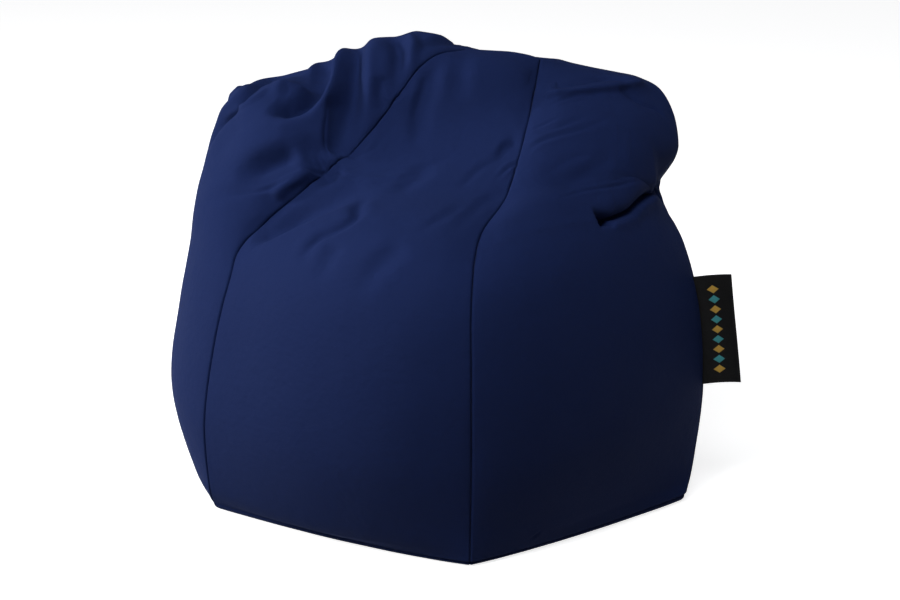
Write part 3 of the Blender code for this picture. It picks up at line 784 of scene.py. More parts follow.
    def turn_edges(self) -> None:
        """Roll every edge of the panels into its seam, a little short of its neighbour."""
        self.normals = self.facing()
        radius = self.seam_radius
        finished = []
        for k in range(SIDES):
            grid, normals = self.grids[k], self.normals[k]
            moved = grid.copy()
            for left in (True, False):
                away = np.minimum(self.distance(k, left), radius)
                moved -= normals * edge_sink(away, radius)[..., None]
                inward = unit(grid[:, 1 if left else -2] - grid[:, 0 if left else -1])
                keep = np.clip(1.0 - away / radius, 0.0, 1.0) * self.seam_half_gap
                moved += inward[:, None] * keep[..., None]
            for bottom in (True, False):
                rows = grid if bottom else grid[::-1]
                steps = np.linalg.norm(np.diff(rows, axis=0), axis=-1)
                away = np.concatenate([np.zeros((1, grid.shape[1])), np.cumsum(steps, axis=0)])
                away = np.minimum(away if bottom else away[::-1], radius)
                moved -= normals * edge_sink(away, radius)[..., None]
            finished.append(moved)
        self.grids = finished

    def rim(self, row: int) -> Array:
        """One row of points right round the bag, edges of the panels joined.

        Args:
            row: the row, 0 at the base seam and -1 at the top panel's seam.

        Returns:
            The points in turn.
        """
        found = []
        for k in range(SIDES):
            grid = self.grids[k][row]
            joint = 0.5 * (self.grids[k - 1][row, -1] + grid[0])
            found.append(np.concatenate([joint[None], grid[1:-1]]))
        return np.concatenate(found)

    def cap_normal(self) -> Array:
        """Direction that the small top panel faces."""
        rim = [self.form.seam(k, self.form.ups[-1:])[0] for k in (0, 2, 4)]
        return unit(np.cross(rim[1] - rim[0], rim[2] - rim[0]))

    def seam_points(self, k: int) -> tuple[Array, Array]:
        """Seam k after folding: the floor of its groove, and its outward direction."""
        edge = 0.5 * (self.grids[k][:, 0] + self.grids[k - 1][:, -1])
        return edge, self.normals[k][:, 0]

    def core(self) -> Array:
        """The line inside the bag in which the filled panels meet, one point a row."""
        form = self.form
        return sum(form.seam(k, form.ups) for k in range(SIDES)) / SIDES


class Socket:
    """A node's output, with arithmetic that makes the nodes it needs."""

    def __init__(self, nodes: "Nodes", output: Any) -> None:
        """Wrap an output of one of the nodes."""
        self.nodes = nodes
        self.output = output

    def _math(self, operation: str, *values: Any) -> "Socket":
        """A Math node on one or two values."""
        return self.nodes.make("ShaderNodeMath", {"operation": operation}, dict(enumerate(values)))

    def __add__(self, other: Any) -> "Socket":
        """The sum."""
        return self._math("ADD", self, other)

    def __radd__(self, other: Any) -> "Socket":
        """The sum, from the right."""
        return self._math("ADD", other, self)

    def __sub__(self, other: Any) -> "Socket":
        """The difference."""
        return self._math("SUBTRACT", self, other)

    def __rsub__(self, other: Any) -> "Socket":
        """The difference, from the right."""
        return self._math("SUBTRACT", other, self)

    def __mul__(self, other: Any) -> "Socket":
        """The product."""
        return self._math("MULTIPLY", self, other)

    def __rmul__(self, other: Any) -> "Socket":
        """The product, from the right."""
        return self._math("MULTIPLY", other, self)

    def __truediv__(self, other: Any) -> "Socket":
        """The quotient."""
        return self._math("DIVIDE", self, other)

    def floor(self) -> "Socket":
        """The whole number below."""
        return self._math("FLOOR", self)

    def fract(self) -> "Socket":
        """What is left above the whole number below."""
        return self._math("FRACT", self)

    def sine(self) -> "Socket":
        """The sine."""
        return self._math("SINE", self)

    def absolute(self) -> "Socket":
        """The size, without its sign."""
        return self._math("ABSOLUTE", self)

    def between(self, low: float, high: float) -> "Socket":
        """The value held between two limits."""
        return self.nodes.make("ShaderNodeClamp", {}, {"Value": self, "Min": low, "Max": high})

    def odd(self) -> "Socket":
        """1 for an odd whole number, and 0 for an even one."""
        return (self * 0.5).fract().above(0.25)

    def highest(self, other: Any) -> "Socket":
        """The larger of the two."""
        return self._math("MAXIMUM", self, other)

    def above(self, other: Any) -> "Socket":
        """1 where this is the larger, and 0 elsewhere."""
        return self._math("GREATER_THAN", self, other)


class Nodes:
    """The nodes of one material."""

    def __init__(self, name: str) -> None:
        """Start a material that holds only its Principled BSDF."""
        self.material = bpy.data.materials.new(name)
        self.material.use_nodes = True
        self.tree = self.material.node_tree
        self.shader = self.tree.nodes["Principled BSDF"]

    def make(self, kind: str, settings: dict[str, Any] | None = None,
             inputs: dict[Any, Any] | None = None, output: Any = 0) -> Socket:
        """Add a node.

        Args:
            kind: the node's type.
            settings: its own options, set before its inputs.
            inputs: values or sockets by input name or number.
            output: name or number of the output to give back.

        Returns:
            The chosen output.
        """
        node = self.tree.nodes.new(kind)
        for key, value in (settings or {}).items():
            setattr(node, key, value)
        for key, value in (inputs or {}).items():
            self.join(value, node.inputs[key])
        return Socket(self, node.outputs[output])

    def join(self, value: Any, target: Any) -> None:
        """Link a socket to the target, or set the target to a plain value.

        Args:
            value: a socket or a plain value.
            target: an input of a node.
        """
        if isinstance(value, Socket):
            self.tree.links.new(value.output, target)
        else:
            target.default_value = value

    def mix(self, share: Any, first: Any, second: Any) -> Socket:
        """A colour between two, by share."""
        colours = {"Factor": share, MIX_FIRST: first, MIX_SECOND: second}
        return self.make("ShaderNodeMix", {"data_type": "RGBA"}, colours, MIX_RESULT)

    def noise(self, scale: float, detail: float, place: Socket) -> Socket:
        """Noise from 0 to 1 at a place."""
        return self.make("ShaderNodeTexNoise", {},
                         {"Vector": place, "Scale": scale, "Detail": detail})

    def flat_place(self) -> tuple[Socket, Socket, Socket]:
        """The cloth's own flat measures, in metres.

        Returns:
            The flat place as a vector, across, and along.
        """
        place = self.make("ShaderNodeUVMap", {"uv_map": "cut"})
        across = self.make("ShaderNodeSeparateXYZ", {}, {0: place}, 0)
        along = self.make("ShaderNodeSeparateXYZ", {}, {0: place}, 1)
        return place, across, along

    def wide_place(self) -> Socket:
        """The place in the object's own measures."""
        return self.make("ShaderNodeTexCoord", output="Object")

    def plain_weave(self, across: Socket, along: Socket, pitch: float) -> Socket:
        """Height of a plain weave, from 0 to 1.

        Args:
            across: flat place across, in metres.
            along: flat place along, in metres.
            pitch: thread to thread, in metres.

        Returns:
            The height.
        """
        u, v = across / pitch, along / pitch
        warp = (u.fract() * math.pi).sine() * (0.5 + 0.5 * (
            (v + u.floor()) * math.pi + 0.5 * math.pi).sine())
        weft = (v.fract() * math.pi).sine() * (0.5 - 0.5 * (
            (u + v.floor()) * math.pi + 0.5 * math.pi).sine())
        return warp.highest(weft)

    def bump(self, height: Socket, distance: float, strength: float = 1.0,
             under: Socket | None = None) -> Socket:
        """A normal from a height.

        Args:
            height: the height, in units of the distance.
            distance: that unit, in metres.
            strength: how strongly it shows.
            under: a normal on which it lies, if any.

        Returns:
            The normal.
        """
        inputs = {"Height": height, "Distance": distance, "Strength": strength}
        if under is not None:
            inputs["Normal"] = under
        return self.make("ShaderNodeBump", {}, inputs)

    def finish(self, colour: Any, roughness: Any, normal: Socket | None,
               fixed: dict[str, Any]) -> bpy.types.Material:
        """Feed the shader.

        Args:
            colour: its base colour.
            roughness: its roughness.
            normal: its normal, if any.
            fixed: plain values for its other inputs, by name.

        Returns:
            The material.
        """
        self.join(colour, self.shader.inputs["Base Color"])
        self.join(roughness, self.shader.inputs["Roughness"])
        if normal is not None:
            self.join(normal, self.shader.inputs["Normal"])
        for key, value in fixed.items():
            self.shader.inputs[key].default_value = value
        return self.material


@dataclass(frozen=True)
class ClothFinish:
    """Navy plain-woven cloth: matt, slightly mottled, with a short soft nap, and painted shade in the
    gaps of its weave.
    """

    name: str = "navy_cloth"
    colour: tuple[float, float, float, float] = (0.0116, 0.0232, 0.0930, 1.0)
    # Lighter and darker thread tones, which also paint the weave's crowns lit and the gaps between
    # threads shaded.
    light_thread_and_lit_crown: tuple[float, float, float, float] = (0.0166, 0.0346, 0.1460, 1.0)
    dark_thread_and_shaded_gap: tuple[float, float, float, float] = (0.0074, 0.0143, 0.0610, 1.0)
    pitch: float = 0.00085
    weave_depth: float = 0.00016
    weave_shade_share: float = 0.55
    slub_scale: float = 900.0
    slub_share: float = 0.35
    grain_and_shade_start: float = 0.10
    worn_scale: float = 14.0
    worn_share: float = 0.35
    worn_start: float = 0.25
    worn_gloss: float = 0.08
    crinkle_scale: float = 95.0
    crinkle_depth: float = 0.0010
    roughness: float = 0.86

    def make(self) -> bpy.types.Material:
        """Build the material.

        Returns:
            The material.
        """
        nodes = Nodes(self.name)
        place, across, along = nodes.flat_place()
        wide = nodes.wide_place()
        weave = nodes.plain_weave(across, along, self.pitch)
        slub = nodes.noise(self.slub_scale, 2.0, place)
        worn = nodes.noise(self.worn_scale, 3.0, wide)
        # Colour from the weave's height paints the thread crowns lighter and the gaps between them
        # darker: painted shade; the slub noise is random thread tone.
        light = weave * self.weave_shade_share + slub * self.slub_share - self.grain_and_shade_start
        grain = nodes.mix(light, self.dark_thread_and_shaded_gap, self.light_thread_and_lit_crown)
        colour = nodes.mix(worn * self.worn_share + self.worn_start, self.colour, grain)
        crinkle = nodes.noise(self.crinkle_scale, 4.0, wide)
        under = nodes.bump(crinkle, self.crinkle_depth)
        normal = nodes.bump(weave + slub * self.slub_share, self.weave_depth, 1.0, under)
        rough = self.roughness + (worn - 0.5) * self.worn_gloss
        return nodes.finish(colour, rough, normal, {
            "Sheen Weight": 0.03, "Sheen Roughness": 0.45,
            "Sheen Tint": (0.20, 0.30, 0.62, 1.0), "Specular IOR Level": 0.05})


@dataclass(frozen=True)
class TapeFinish:
    """Black woven tape, ribbed, with a column of small satin-stitched lozenges."""

    name: str = "black_tape"
    colour: tuple[float, float, float, float] = (0.0026, 0.0026, 0.0030, 1.0)
    # The lighter thread tone, which also paints the rib crowns lit.
    thread: tuple[float, float, float, float] = (0.0090, 0.0092, 0.0102, 1.0)
    warm: tuple[float, float, float, float] = (0.90, 0.55, 0.10, 1.0)
    cool: tuple[float, float, float, float] = (0.10, 0.52, 0.56, 1.0)
    rib: float = 0.0010
    rib_depth: float = 0.00018
    rib_shade_share: float = 0.30
    fine_scale: float = 0.6
    fleck_scale: float = 1200.0
    fleck_share: float = 0.25
    fleck_gloss: float = 0.10
    silk_gloss: float = 0.22
    roughness: float = 0.62
    lozenges: int = 9
    lozenge_half_width: float = 0.0100
    lozenge_half_height: float = 0.0062
    lozenge_step: float = 0.0145
    column_out: float = 0.0245
    column_middle: float = 0.238
    lozenge_sharpness: float = 9.0
    stitch_pitch: float = 0.0006
    stitch_rise: float = 0.0006
    stitch_relief: float = 0.25

    def make(self) -> bpy.types.Material:
        """Build the material.

        Returns:
            The material.
        """
        nodes = Nodes(self.name)
        place, across, along = nodes.flat_place()
        rib = (along * (math.pi / self.rib)).sine() * 0.5 + 0.5
        fine = nodes.plain_weave(across, along, self.rib * self.fine_scale)
        fleck = nodes.noise(self.fleck_scale, 1.0, place)
        # Colour from the ribs' height paints their crowns lighter and their grooves darker: painted
        # shade; the flecks are random thread tone.
        light = rib * self.rib_shade_share + fleck * self.fleck_share
        ground = nodes.mix(light, self.colour, self.thread)
        first = self.column_middle - 0.5 * self.lozenges * self.lozenge_step
        count = (along - first) / self.lozenge_step
        aside = (across + self.column_out).absolute() / self.lozenge_half_width
        upright = (count.fract() - 0.5).absolute() * (self.lozenge_step / self.lozenge_half_height)
        inside = ((1.0 - aside - upright) * self.lozenge_sharpness).between(0.0, 1.0)
        inside = inside * count.above(0.0) * (self.lozenges - count).above(0.0)
        silk = nodes.mix(count.floor().odd(), self.warm, self.cool)
        stitch = (across * (math.pi / self.stitch_pitch)).sine().absolute()
        # Between the satin stitches the silk is mixed half way to the tape's black: painted shade in
        # the grooves between the threads.
        silk = nodes.mix(stitch * 0.5 + 0.5, self.colour, silk)
        colour = nodes.mix(inside, ground, silk)
        normal = nodes.bump(rib + fine * 0.5, self.rib_depth)
        raised = inside * (1.0 - self.stitch_relief + self.stitch_relief * stitch)
        normal = nodes.bump(raised, self.stitch_rise, 1.0, normal)
        rough = self.roughness + fleck * self.fleck_gloss - inside * self.silk_gloss
        return nodes.finish(colour, rough, normal, {
            "Sheen Weight": 0.02, "Sheen Roughness": 0.4, "Specular IOR Level": 0.15})


@dataclass(frozen=True)
class ThreadFinish:
    """Twisted sewing thread in the cloth's colour, a little glossier."""

    name: str = "navy_thread"
    colour: tuple[float, float, float, float] = (0.0100, 0.0190, 0.0640, 1.0)
    roughness: float = 0.55
    fuzz_scale: float = 2500.0
    fuzz_depth: float = 0.0001
    fuzz_gloss: float = 0.15

    def make(self) -> bpy.types.Material:
        """Build the material.

        Returns:
            The material.
        """
        nodes = Nodes(self.name)
        fuzz = nodes.noise(self.fuzz_scale, 1.0, nodes.wide_place())
        rough = self.roughness + fuzz * self.fuzz_gloss
        return nodes.finish(self.colour, rough, nodes.bump(fuzz, self.fuzz_depth),
                            {"Sheen Weight": 0.2, "Specular IOR Level": 0.35})


def mesh_object(name: str, points: Array, faces: Sequence[Sequence[int]],
                cut: Array | None, finish: bpy.types.Material) -> bpy.types.Object:
    """A smooth shaded mesh in the scene.

    Args:
        name: the object's name.
        points: its vertices.
        faces: its faces as vertex numbers.
        cut: flat place of each vertex, in metres, for the weave.
        finish: its material.

    Returns:
        The object.
    """
    mesh = bpy.data.meshes.new(name)
    mesh.from_pydata(points.tolist(), [], [list(face) for face in faces])
    mesh.shade_smooth()
    if cut is not None:
        layer = mesh.uv_layers.new(name="cut")
        index = np.zeros(len(mesh.loops), dtype=int)
        mesh.loops.foreach_get("vertex_index", index)
        layer.data.foreach_set("uv", cut[index].ravel())
    mesh.materials.append(finish)
    made = bpy.data.objects.new(name, mesh)
    bpy.context.scene.collection.objects.link(made)
    return made


def grid_faces(rows: int, columns: int, start: int = 0, closed: bool = False) -> Array:
    """Four-sided faces of a grid of vertices, kept row by row.

    Args:
        rows: rows of vertices.
        columns: vertices in a row.
        start: number of the first vertex.
        closed: join the last column to the first.

    Returns:
        One row of four vertex numbers for each face.
    """
    index = np.arange(rows * columns).reshape(rows, columns) + start
    if closed:
        index = np.concatenate([index, index[:, :1]], axis=1)
    corners = (index[:-1, :-1], index[:-1, 1:], index[1:, 1:], index[1:, :-1])
    return np.stack(corners, axis=-1).reshape(-1, 4)


def read_line(places: Array, run: Array, line: Array) -> Array:
    """Points of a line at places between those that it is made of.

    Args:
        places: where to read it.
        run: the same measure at each of the line's points, rising.
        line: its points.

    Returns:
        One point for each place.
    """
    return np.stack([np.interp(places, run, line[:, axis]) for axis in range(3)], axis=1)


def fan_faces(ring: Sequence[int], centre: int) -> list[tuple[int, int, int]]:
    """Three-sided faces from a closed ring of vertices to one in its middle."""
    return [(start, end, centre) for start, end in zip(ring, [*ring[1:], ring[0]])]


def thicken(made: bpy.types.Object, name: str, thickness: float, offset: float) -> None:
    """Give a sheet its thickness.

    Args:
        made: the sheet.
        name: name of the modifier.
        thickness: how thick, in metres.
        offset: -1 for all of it behind the face, 0 for half on each side.
    """
    solid = made.modifiers.new(name, "SOLIDIFY")
    solid.thickness = thickness
    solid.offset = offset


def run_length(points: Array, axis: int) -> Array:
    """Length run along a grid's rows or columns.

    Args:
        points: the grid of points.
        axis: 0 to run up its columns, 1 to run along its rows.

    Returns:
        The length run up to each point.
    """
    steps = np.linalg.norm(np.diff(points, axis=axis), axis=-1)
    pad = [(0, 0), (0, 0)]
    pad[axis] = (1, 0)
    return np.cumsum(np.pad(steps, pad), axis=axis)


@dataclass
class FilledPanel:
    """A side panel of cloth with its share of the filling behind it."""

    k: int
    cloth: Cloth
    floor_height: float = 0.0042
    foot_tuck: float = 0.014
    top_tuck: float = 0.008
    top_drop: float = 0.004
    fill: float = 0.55

    @property
    def node(self) -> str:
        """The solid that this panel stands for."""
        return PANEL_NODES[self.k]

    def edged(self) -> Array:
        """The face with one more row and column all round, tucked into the seams.

        Returns:
            The grid of points.
        """
        grid, normals = self.cloth.grids[self.k], self.cloth.normals[self.k]
        tuck = self.cloth.tuck
        left = grid[:, :1] - normals[:, :1] * tuck
        right = grid[:, -1:] - normals[:, -1:] * tuck
        wide = np.concatenate([left, grid, right], axis=1)
        core = self.cloth.core()
        inward = core[0] - wide[0]
        inward[:, 2] = 0.0
        foot = wide[0] + unit(inward) * self.foot_tuck
        foot[:, 2] = self.floor_height
        top = wide[-1] + unit(core[-1] - wide[-1]) * self.top_tuck
        top -= self.top_drop * self.cloth.cap_normal()
        return np.concatenate([foot[None], wide, top[None]], axis=0)

    def build(self, finish: bpy.types.Material) -> bpy.types.Object:
        """Make the closed panel: face, tucked edges and the two flat walls to the core.

        Args:
            finish: its material.

        Returns:
            The piece.
        """
        grid = self.edged()
        rows, columns = grid.shape[:2]
        core = self.cloth.core()
        core = np.concatenate([core[:1], core, core[-1:]])
        core[0, 2] = core[1, 2] = self.floor_height
        core[-1] -= self.top_drop * self.cloth.cap_normal()
        points = np.concatenate([grid.reshape(-1, 3), core])
        faces = grid_faces(rows, columns).tolist()
        index = np.arange(rows * columns).reshape(rows, columns)
        inner = rows * columns + np.arange(rows)
        for r in range(rows - 1):
            faces.append((index[r + 1, 0], inner[r + 1], inner[r], index[r, 0]))
            faces.append((index[r, -1], inner[r], inner[r + 1], index[r + 1, -1]))
        for c in range(columns - 1):
            faces.append((index[0, c + 1], index[0, c], inner[0]))
            faces.append((index[-1, c], index[-1, c + 1], inner[-1]))
        across = run_length(grid, 1)
        across -= 0.5 * across[:, -1:]
        along = run_length(grid, 0)
        cut = np.concatenate([np.stack([across, along], axis=-1).reshape(-1, 2),
                              np.zeros((rows, 2))])
        made = mesh_object(self.node + "_cushion", points, faces, cut, finish)
        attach(made, "root")
        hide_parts(self.node)
        return made


@dataclass
class BasePanel:
    """The six-sided base: on the floor, turned up to its seam all round."""

    cloth: Cloth
    turn_in: float = 0.013
    thickness: float = 0.0022
    drop: float = 0.0012
    tucks: tuple[Pair, Pair] = ((0.0050, 0.0006), (0.0022, 0.0))
    turn_power: float = 1.2
    steps: int = 9
    rings: tuple[float, ...] = (0.98, 0.93, 0.82, 0.62, 0.35, 0.12)

    def build(self, finish: bpy.types.Material) -> bpy.types.Object:
        """Make the sheet: tucked edge, round turn and the flat.

        Args:
            finish: its material.

        Returns:
            The piece.
        """
        rim = self.cloth.rim(0)
        inward = -rim.copy()
        inward[:, 2] = 0.0
        inward = unit(inward)
        height = rim[:, 2] - self.drop
        loops = [self.ring(rim, inward, offset, height + rise) for offset, rise in self.tucks]
        for i in range(self.steps + 1):
            turn = 0.5 * math.pi * i / self.steps
            offset = self.turn_in * (1.0 - math.cos(turn)) ** self.turn_power
            low = (height - self.drop) * (1.0 - math.sin(turn))
            loops.append(self.ring(rim, inward, offset, low))
        flat = loops[-1]
        loops += [flat * share for share in self.rings]
        grid = np.array(loops)
        rows, columns = grid.shape[:2]
        points = np.concatenate([grid.reshape(-1, 3), [(0.0, 0.0, 0.0)]])
        faces = grid_faces(rows, columns, closed=True)[:, ::-1].tolist()
        ring = range(rows * columns - columns, rows * columns)
        faces += [face[1::-1] + face[2:] for face in fan_faces(ring, rows * columns)]
        made = mesh_object("base_panel_sheet", points, faces, points[:, :2].copy(), finish)
        thicken(made, "cloth thickness", self.thickness, -1.0)
        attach(made, "root")
        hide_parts("base_panel")
        return made

    def ring(self, rim: Array, inward: Array, offset: float, height: Array) -> Array:
        """One ring of the sheet.

        Args:
            rim: the edge of the bag's sides.
            inward: level direction in from each of its points.
            offset: how far in the ring lies, in metres.
            height: its height at each point.

        Returns:
            The ring's points.
        """
        loop = rim + inward * offset
        loop[:, 2] = height
        return loop


@dataclass
class TopPanel:
    """The small six-sided top, crowned, its edge rolled into the seam all round."""

    cloth: Cloth
    crown: float = 0.0075
    thickness: float = 0.0020
    radius: float = 0.0028
    tuck: float = 0.0012
    tuck_drop: float = 0.0045
    clear: float = 0.0006
    edge_gap: float = 0.0009
    rise_power: float = 0.8
    pucker: float = 0.0013
    pucker_reach: float = 0.012
    pucker_length: float = 0.016
    pucker_fade: float = 0.5
    seed: int = 91
    edge_shares: tuple[float, ...] = (0.0, 0.0015, 0.004, 0.008, 0.013, 0.020, 0.030, 0.045)
    inner_shares: Pair = (0.065, 0.97)
    steps: int = 34

    def build(self, finish: bpy.types.Material) -> bpy.types.Object:
        """Make the sheet from its rim to its middle.

        Args:
            finish: its material.

        Returns:
            The piece.
        """
        rim = self.cloth.rim(-1)
        normal = self.cloth.cap_normal()
        middle = self.cloth.core()[-1]
        shares = np.concatenate([self.edge_shares, np.linspace(*self.inner_shares, self.steps)])
        size = float(np.linalg.norm(rim - middle, axis=1).mean())
        inward = unit(middle - rim)
        loops = [rim + inward * self.tuck - normal * self.tuck_drop]
        for share in shares:
            away = min(share * size, self.radius)
            rise = self.crown * math.sin(0.5 * math.pi * share) ** self.rise_power
            height = rise - edge_sink(away, self.radius) + self.clear
            loop = rim + (middle - rim) * share + normal * height
            loop += inward * (self.edge_gap * max(1.0 - away / self.radius, 0.0))
            fall = share * size / self.pucker_reach
            shrunk = rim * (1.0 - self.pucker_fade * share)
            wave = soft_noise(shrunk, self.pucker_length, self.seed)
            loop += normal * (wave * self.pucker * fall * math.exp(1.0 - fall))[:, None]
            loops.append(loop)
        grid = np.array(loops)
        rows, columns = grid.shape[:2]
        centre = middle + normal * (self.crown + self.clear)
        points = np.concatenate([grid.reshape(-1, 3), [centre]])
        faces = grid_faces(rows, columns, closed=True).tolist()
        faces += fan_faces(range(rows * columns - columns, rows * columns), rows * columns)
        side = unit(np.cross((0.0, 1.0, 0.0), normal))
        cut = np.stack([points @ side, points @ np.cross(normal, side)], axis=-1)
        made = mesh_object("top_panel_sheet", points, faces, cut, finish)
        thicken(made, "cloth thickness", self.thickness, -1.0)
        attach(made, "root")
        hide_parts("top_panel")
        return made


@dataclass
class SeamTag:
    """A black tape folded double at its outer edge, with both ends sewn into the right seam."""

    cloth: Cloth
    low: float = 0.160
    high: float = 0.316
    out: float = 0.056
    layer: float = 0.0009
    spacing: float = 0.0019
    stand_off: float = 0.0016
    bearing: float = 67.0
    curl: float = 0.004
    lift: float = 0.010
    sewn_in: float = 0.08
    wave: float = 0.0012
    wave_turn: float = 5.0
    wave_start: float = 0.6
    nose_steps: int = 7
    rows: int = 60
    columns: int = 26

    def build(self, finish: bpy.types.Material) -> bpy.types.Object:
        """Make the folded tape, slightly wavy, with its lower edge a little open.

        Args:
            finish: its material.

        Returns:
            The piece.
        """
        seam = self.cloth.form.seam(RIGHT_BACK, self.cloth.form.ups)
        heights = np.linspace(self.low, self.high, self.rows)
        root = read_line(heights, seam[:, 2], seam)
        turn = math.radians(self.bearing)
        out = np.array((math.sin(turn), -math.cos(turn), 0.0))
        facing = np.array((-out[1], out[0], 0.0))
        share = np.linspace(0.0, 1.0, self.rows)[:, None]
        square = root[0] + (root[-1] - root[0]) * share
        widths = np.linspace(-self.sewn_in, 1.0, self.columns)
        turns = np.linspace(-0.5 * math.pi, 0.5 * math.pi, self.nose_steps)[1:-1]
        section = [(w, -1.0, 0.0) for w in widths]
        section += [(1.0, math.sin(t), math.cos(t)) for t in turns]
        section += [(w, 1.0, 0.0) for w in widths[::-1]]
        points = np.zeros((self.rows, len(section), 3))
        cut = np.zeros((self.rows, len(section), 2))
        for c, (w, side, nose) in enumerate(section):
            held = min(max(w, 0.0), 1.0)
            base = root * (1.0 - held) + square * held
            reach = self.stand_off + (self.out - self.spacing) * w + nose * 0.5 * self.spacing
            wave = self.wave * held * np.sin(self.wave_turn * share[:, 0] + self.wave_start)
            aside = self.curl * 4.0 * held * (1.0 - held) + side * 0.5 * self.spacing + wave
            points[:, c] = base + out * reach + facing * aside[:, None]
            points[:, c, 2] += self.lift * held
            cut[:, c, 0] = w * self.out * (1.0 if side > 0 else -1.0)
            cut[:, c, 1] = heights
        faces = grid_faces(self.rows, len(section)).tolist()
        made = mesh_object("seam_tag_tape", points.reshape(-1, 3), faces,
                           cut.reshape(-1, 2), finish)
        thicken(made, "tape thickness", self.layer, 0.0)
        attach(made, "root")
        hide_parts("seam_tag")
        return made


@dataclass
class SeamStitches:
    """Short tight thread stitches across the floor of the seams."""

    cloth: Cloth
    pitch: float = 0.0040
    length: float = 0.0026
    thread: float = 0.00045
    sunk: float = 0.0006
    margin: float = 0.006
    least_end: float = 0.05
    sides: int = 5
    rings: int = 5

    def lines(self) -> list[tuple[Array, Array]]:
        """Where the stitches of each side seam lie.

        Returns:
            For each seam, its floor and its outward directions.
        """
        found = []
        for k in range(SIDES):
            line, outward = self.cloth.seam_points(k)
            found.append((line - outward * self.sunk, outward))
        return found

    def build(self, finish: bpy.types.Material) -> bpy.types.Object:
        """Make all the stitches of the side seams as one piece.

        Args:
            finish: its material.

        Returns:
            The piece.
        """
        points: list[Array] = []
        faces: list[list[int]] = []
        for line, outward in self.lines():
            steps = np.linalg.norm(np.diff(line, axis=0), axis=1)
            run = np.concatenate([[0.0], np.cumsum(steps)])
            for start in np.arange(self.margin, run[-1] - self.margin, self.pitch):
                self.stitch(line, outward, run, start, points, faces)
        made = mesh_object("seam_stitches", np.concatenate(points), faces, None, finish)
        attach(made, "root")
        return made

    def stitch(self, line: Array, outward: Array, run: Array, start: float,
               points: list[Array], faces: list[list[int]]) -> None:
        """Add one stitch, bowed up out of the groove.

        Args:
            line: the seam's floor.
            outward: the outward direction at each of its points.
            run: length run at each of its points.
            start: where the stitch starts, as length run.
            points: vertices so far, to which its own are added.
            faces: faces so far, to which its own are added.
        """
        first = len(points) * self.rings * self.sides
        places = start + np.linspace(0.0, self.length, self.rings)
        middle = read_line(places, run, line)
        up = unit(read_line(places, run, outward))
        ahead = unit(np.gradient(middle, axis=0))
        aside = unit(np.cross(ahead, up))
        share = np.linspace(-1.0, 1.0, self.rings)
        radius = 0.5 * self.thread * np.sqrt(np.maximum(1.0 - share ** 4, self.least_end))
        middle = middle + up * (0.5 * self.thread * (1.0 - share ** 2))[:, None]
        turns = np.arange(self.sides) * 2.0 * math.pi / self.sides
        round_it = (np.cos(turns)[None, :, None] * aside[:, None]
                    + np.sin(turns)[None, :, None] * up[:, None])
        ring = middle[:, None] + radius[:, None, None] * round_it
        points.append(ring.reshape(-1, 3))
        faces.extend(grid_faces(self.rings, self.sides, first, True).tolist())
        faces.append([first + i for i in reversed(range(self.sides))])
        last = first + (self.rings - 1) * self.sides
        faces.append([last + i for i in range(self.sides)])


@dataclass(frozen=True)
class SoftBox:
    """A square lamp that looks at the bag."""

    name: str
    place: tuple[float, float, float]
    size: float
    power: float
    colour: tuple[float, float, float] = (1.0, 1.0, 1.0)
    aim: tuple[float, float, float] = (0.0, 0.0, 0.3)

    def make(self) -> bpy.types.Object:
        """Put the lamp in the scene.

        Returns:
            The lamp.
        """
        data = bpy.data.lights.new(self.name, "AREA")
        data.shape = "SQUARE"
        data.size = self.size
        data.energy = self.power
        data.color = self.colour
        lamp = bpy.data.objects.new(self.name, data)
        bpy.context.scene.collection.objects.link(lamp)
        lamp.location = self.place
        aim = Vector(self.aim) - lamp.location
        lamp.rotation_euler = aim.to_track_quat("-Z", "Y").to_euler()
        return lamp


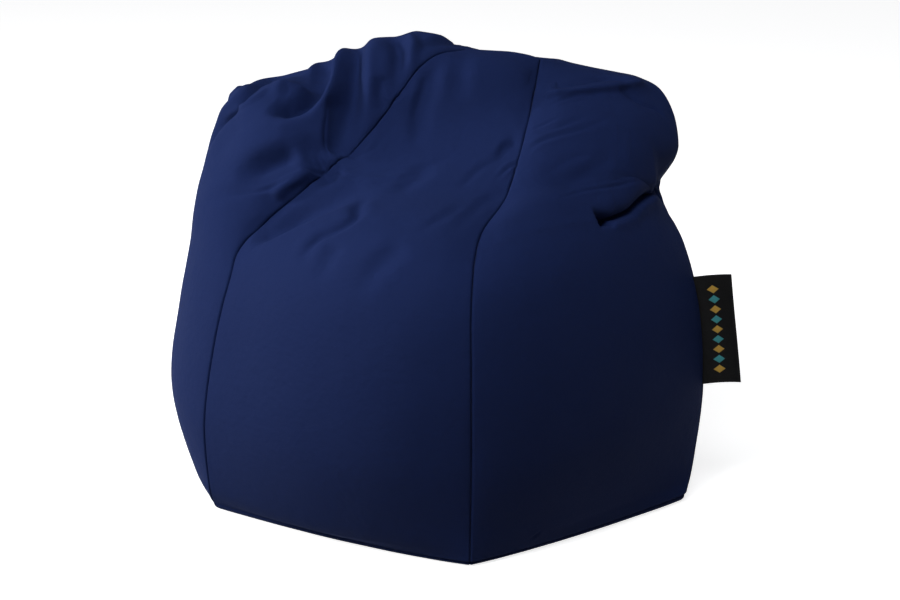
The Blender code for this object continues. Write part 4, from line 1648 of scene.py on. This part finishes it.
@dataclass(frozen=True)
class Studio:
    """A plain pale floor, a pale surround and soft lamps."""

    lamps: tuple[SoftBox, ...] = (
        SoftBox("key", (-2.94, -1.70, 2.42), 0.9, 30.0),
        SoftBox("side", (-3.90, 0.34, 1.15), 0.8, 98.0),
        SoftBox("high left", (-1.3, -1.9, 3.3), 1.2, 45.0),
        SoftBox("high front", (0.1, -1.4, 3.5), 1.4, 24.0),
        SoftBox("top", (0.2, 0.8, 3.2), 2.2, 3.0),
    )
    ambient: tuple[float, float, float, float] = (0.90, 0.93, 1.0, 1.0)
    strength: float = 0.10
    floor_half: float = 30.0
    floor_glow: float = 0.80
    drum_radius: float = 25.0
    drum_sides: int = 64
    drum_heights: Pair = (-0.5, 30.0)
    drum_glow: float = 1.0

    def build(self) -> None:
        """Put the floor, the surround and the lamps in the scene."""
        for lamp in self.lamps:
            lamp.make()
        world = bpy.data.worlds.new("studio air")
        world.use_nodes = True
        shade = world.node_tree.nodes["Background"]
        shade.inputs["Color"].default_value = self.ambient
        shade.inputs["Strength"].default_value = self.strength
        bpy.context.scene.world = world
        corners = np.array(((-1, -1, 0), (1, -1, 0), (1, 1, 0), (-1, 1, 0)), dtype=float)
        floor = mesh_object("floor", self.floor_half * corners, [(0, 1, 2, 3)], None,
                            self.pale("floor finish", self.floor_glow))
        # The floor's own glow must not light the bag from below.
        floor.visible_diffuse = False
        surround = self.surround()
        bpy.context.scene.view_settings.view_transform = "Standard"

    def pale(self, name: str, glow: float) -> bpy.types.Material:
        """A pale matt finish that glows evenly.

        Args:
            name: the material's name.
            glow: strength of the glow.

        Returns:
            The material.
        """
        nodes = Nodes(name)
        return nodes.finish((0.88, 0.88, 0.88, 1.0), 0.9, None, {
            "Emission Color": (1.0, 1.0, 1.0, 1.0), "Emission Strength": glow,
            "Specular IOR Level": 0.1})

    def surround(self) -> bpy.types.Object:
        """A wide pale drum that the camera sees and that lights nothing.

        Returns:
            The drum.
        """
        turns = np.linspace(0.0, 2.0 * math.pi, self.drum_sides + 1)[:-1]
        x, y = self.drum_radius * np.cos(turns), self.drum_radius * np.sin(turns)
        rings = [np.stack([x, y, np.full(self.drum_sides, z)], axis=1) for z in self.drum_heights]
        faces = grid_faces(len(rings), self.drum_sides, closed=True).tolist()
        made = mesh_object("surround", np.concatenate(rings), faces, None,
                           self.pale("surround finish", self.drum_glow))
        for ray in ("diffuse", "glossy", "transmission", "shadow"):
            setattr(made, "visible_" + ray, False)
        return made


def main() -> None:
    """Build the bag, dress it and light it."""
    logging.basicConfig(level=logging.INFO, format="%(message)s")
    view = View()
    cloth = Cloth(Form(), view)
    navy = ClothFinish().make()
    tape = TapeFinish().make()
    thread = ThreadFinish().make()
    pieces = [FilledPanel(k, cloth).build(navy) for k in range(SIDES)]
    pieces.append(TopPanel(cloth).build(navy))
    pieces.append(BasePanel(cloth).build(navy))
    pieces.append(SeamTag(cloth).build(tape))
    pieces.append(SeamStitches(cloth).build(thread))
    for piece in pieces:
        LOG.info("%s: %d faces", piece.name, len(piece.data.polygons))
    Studio().build()
    view.make()


if __name__ == "__main__":
    main()
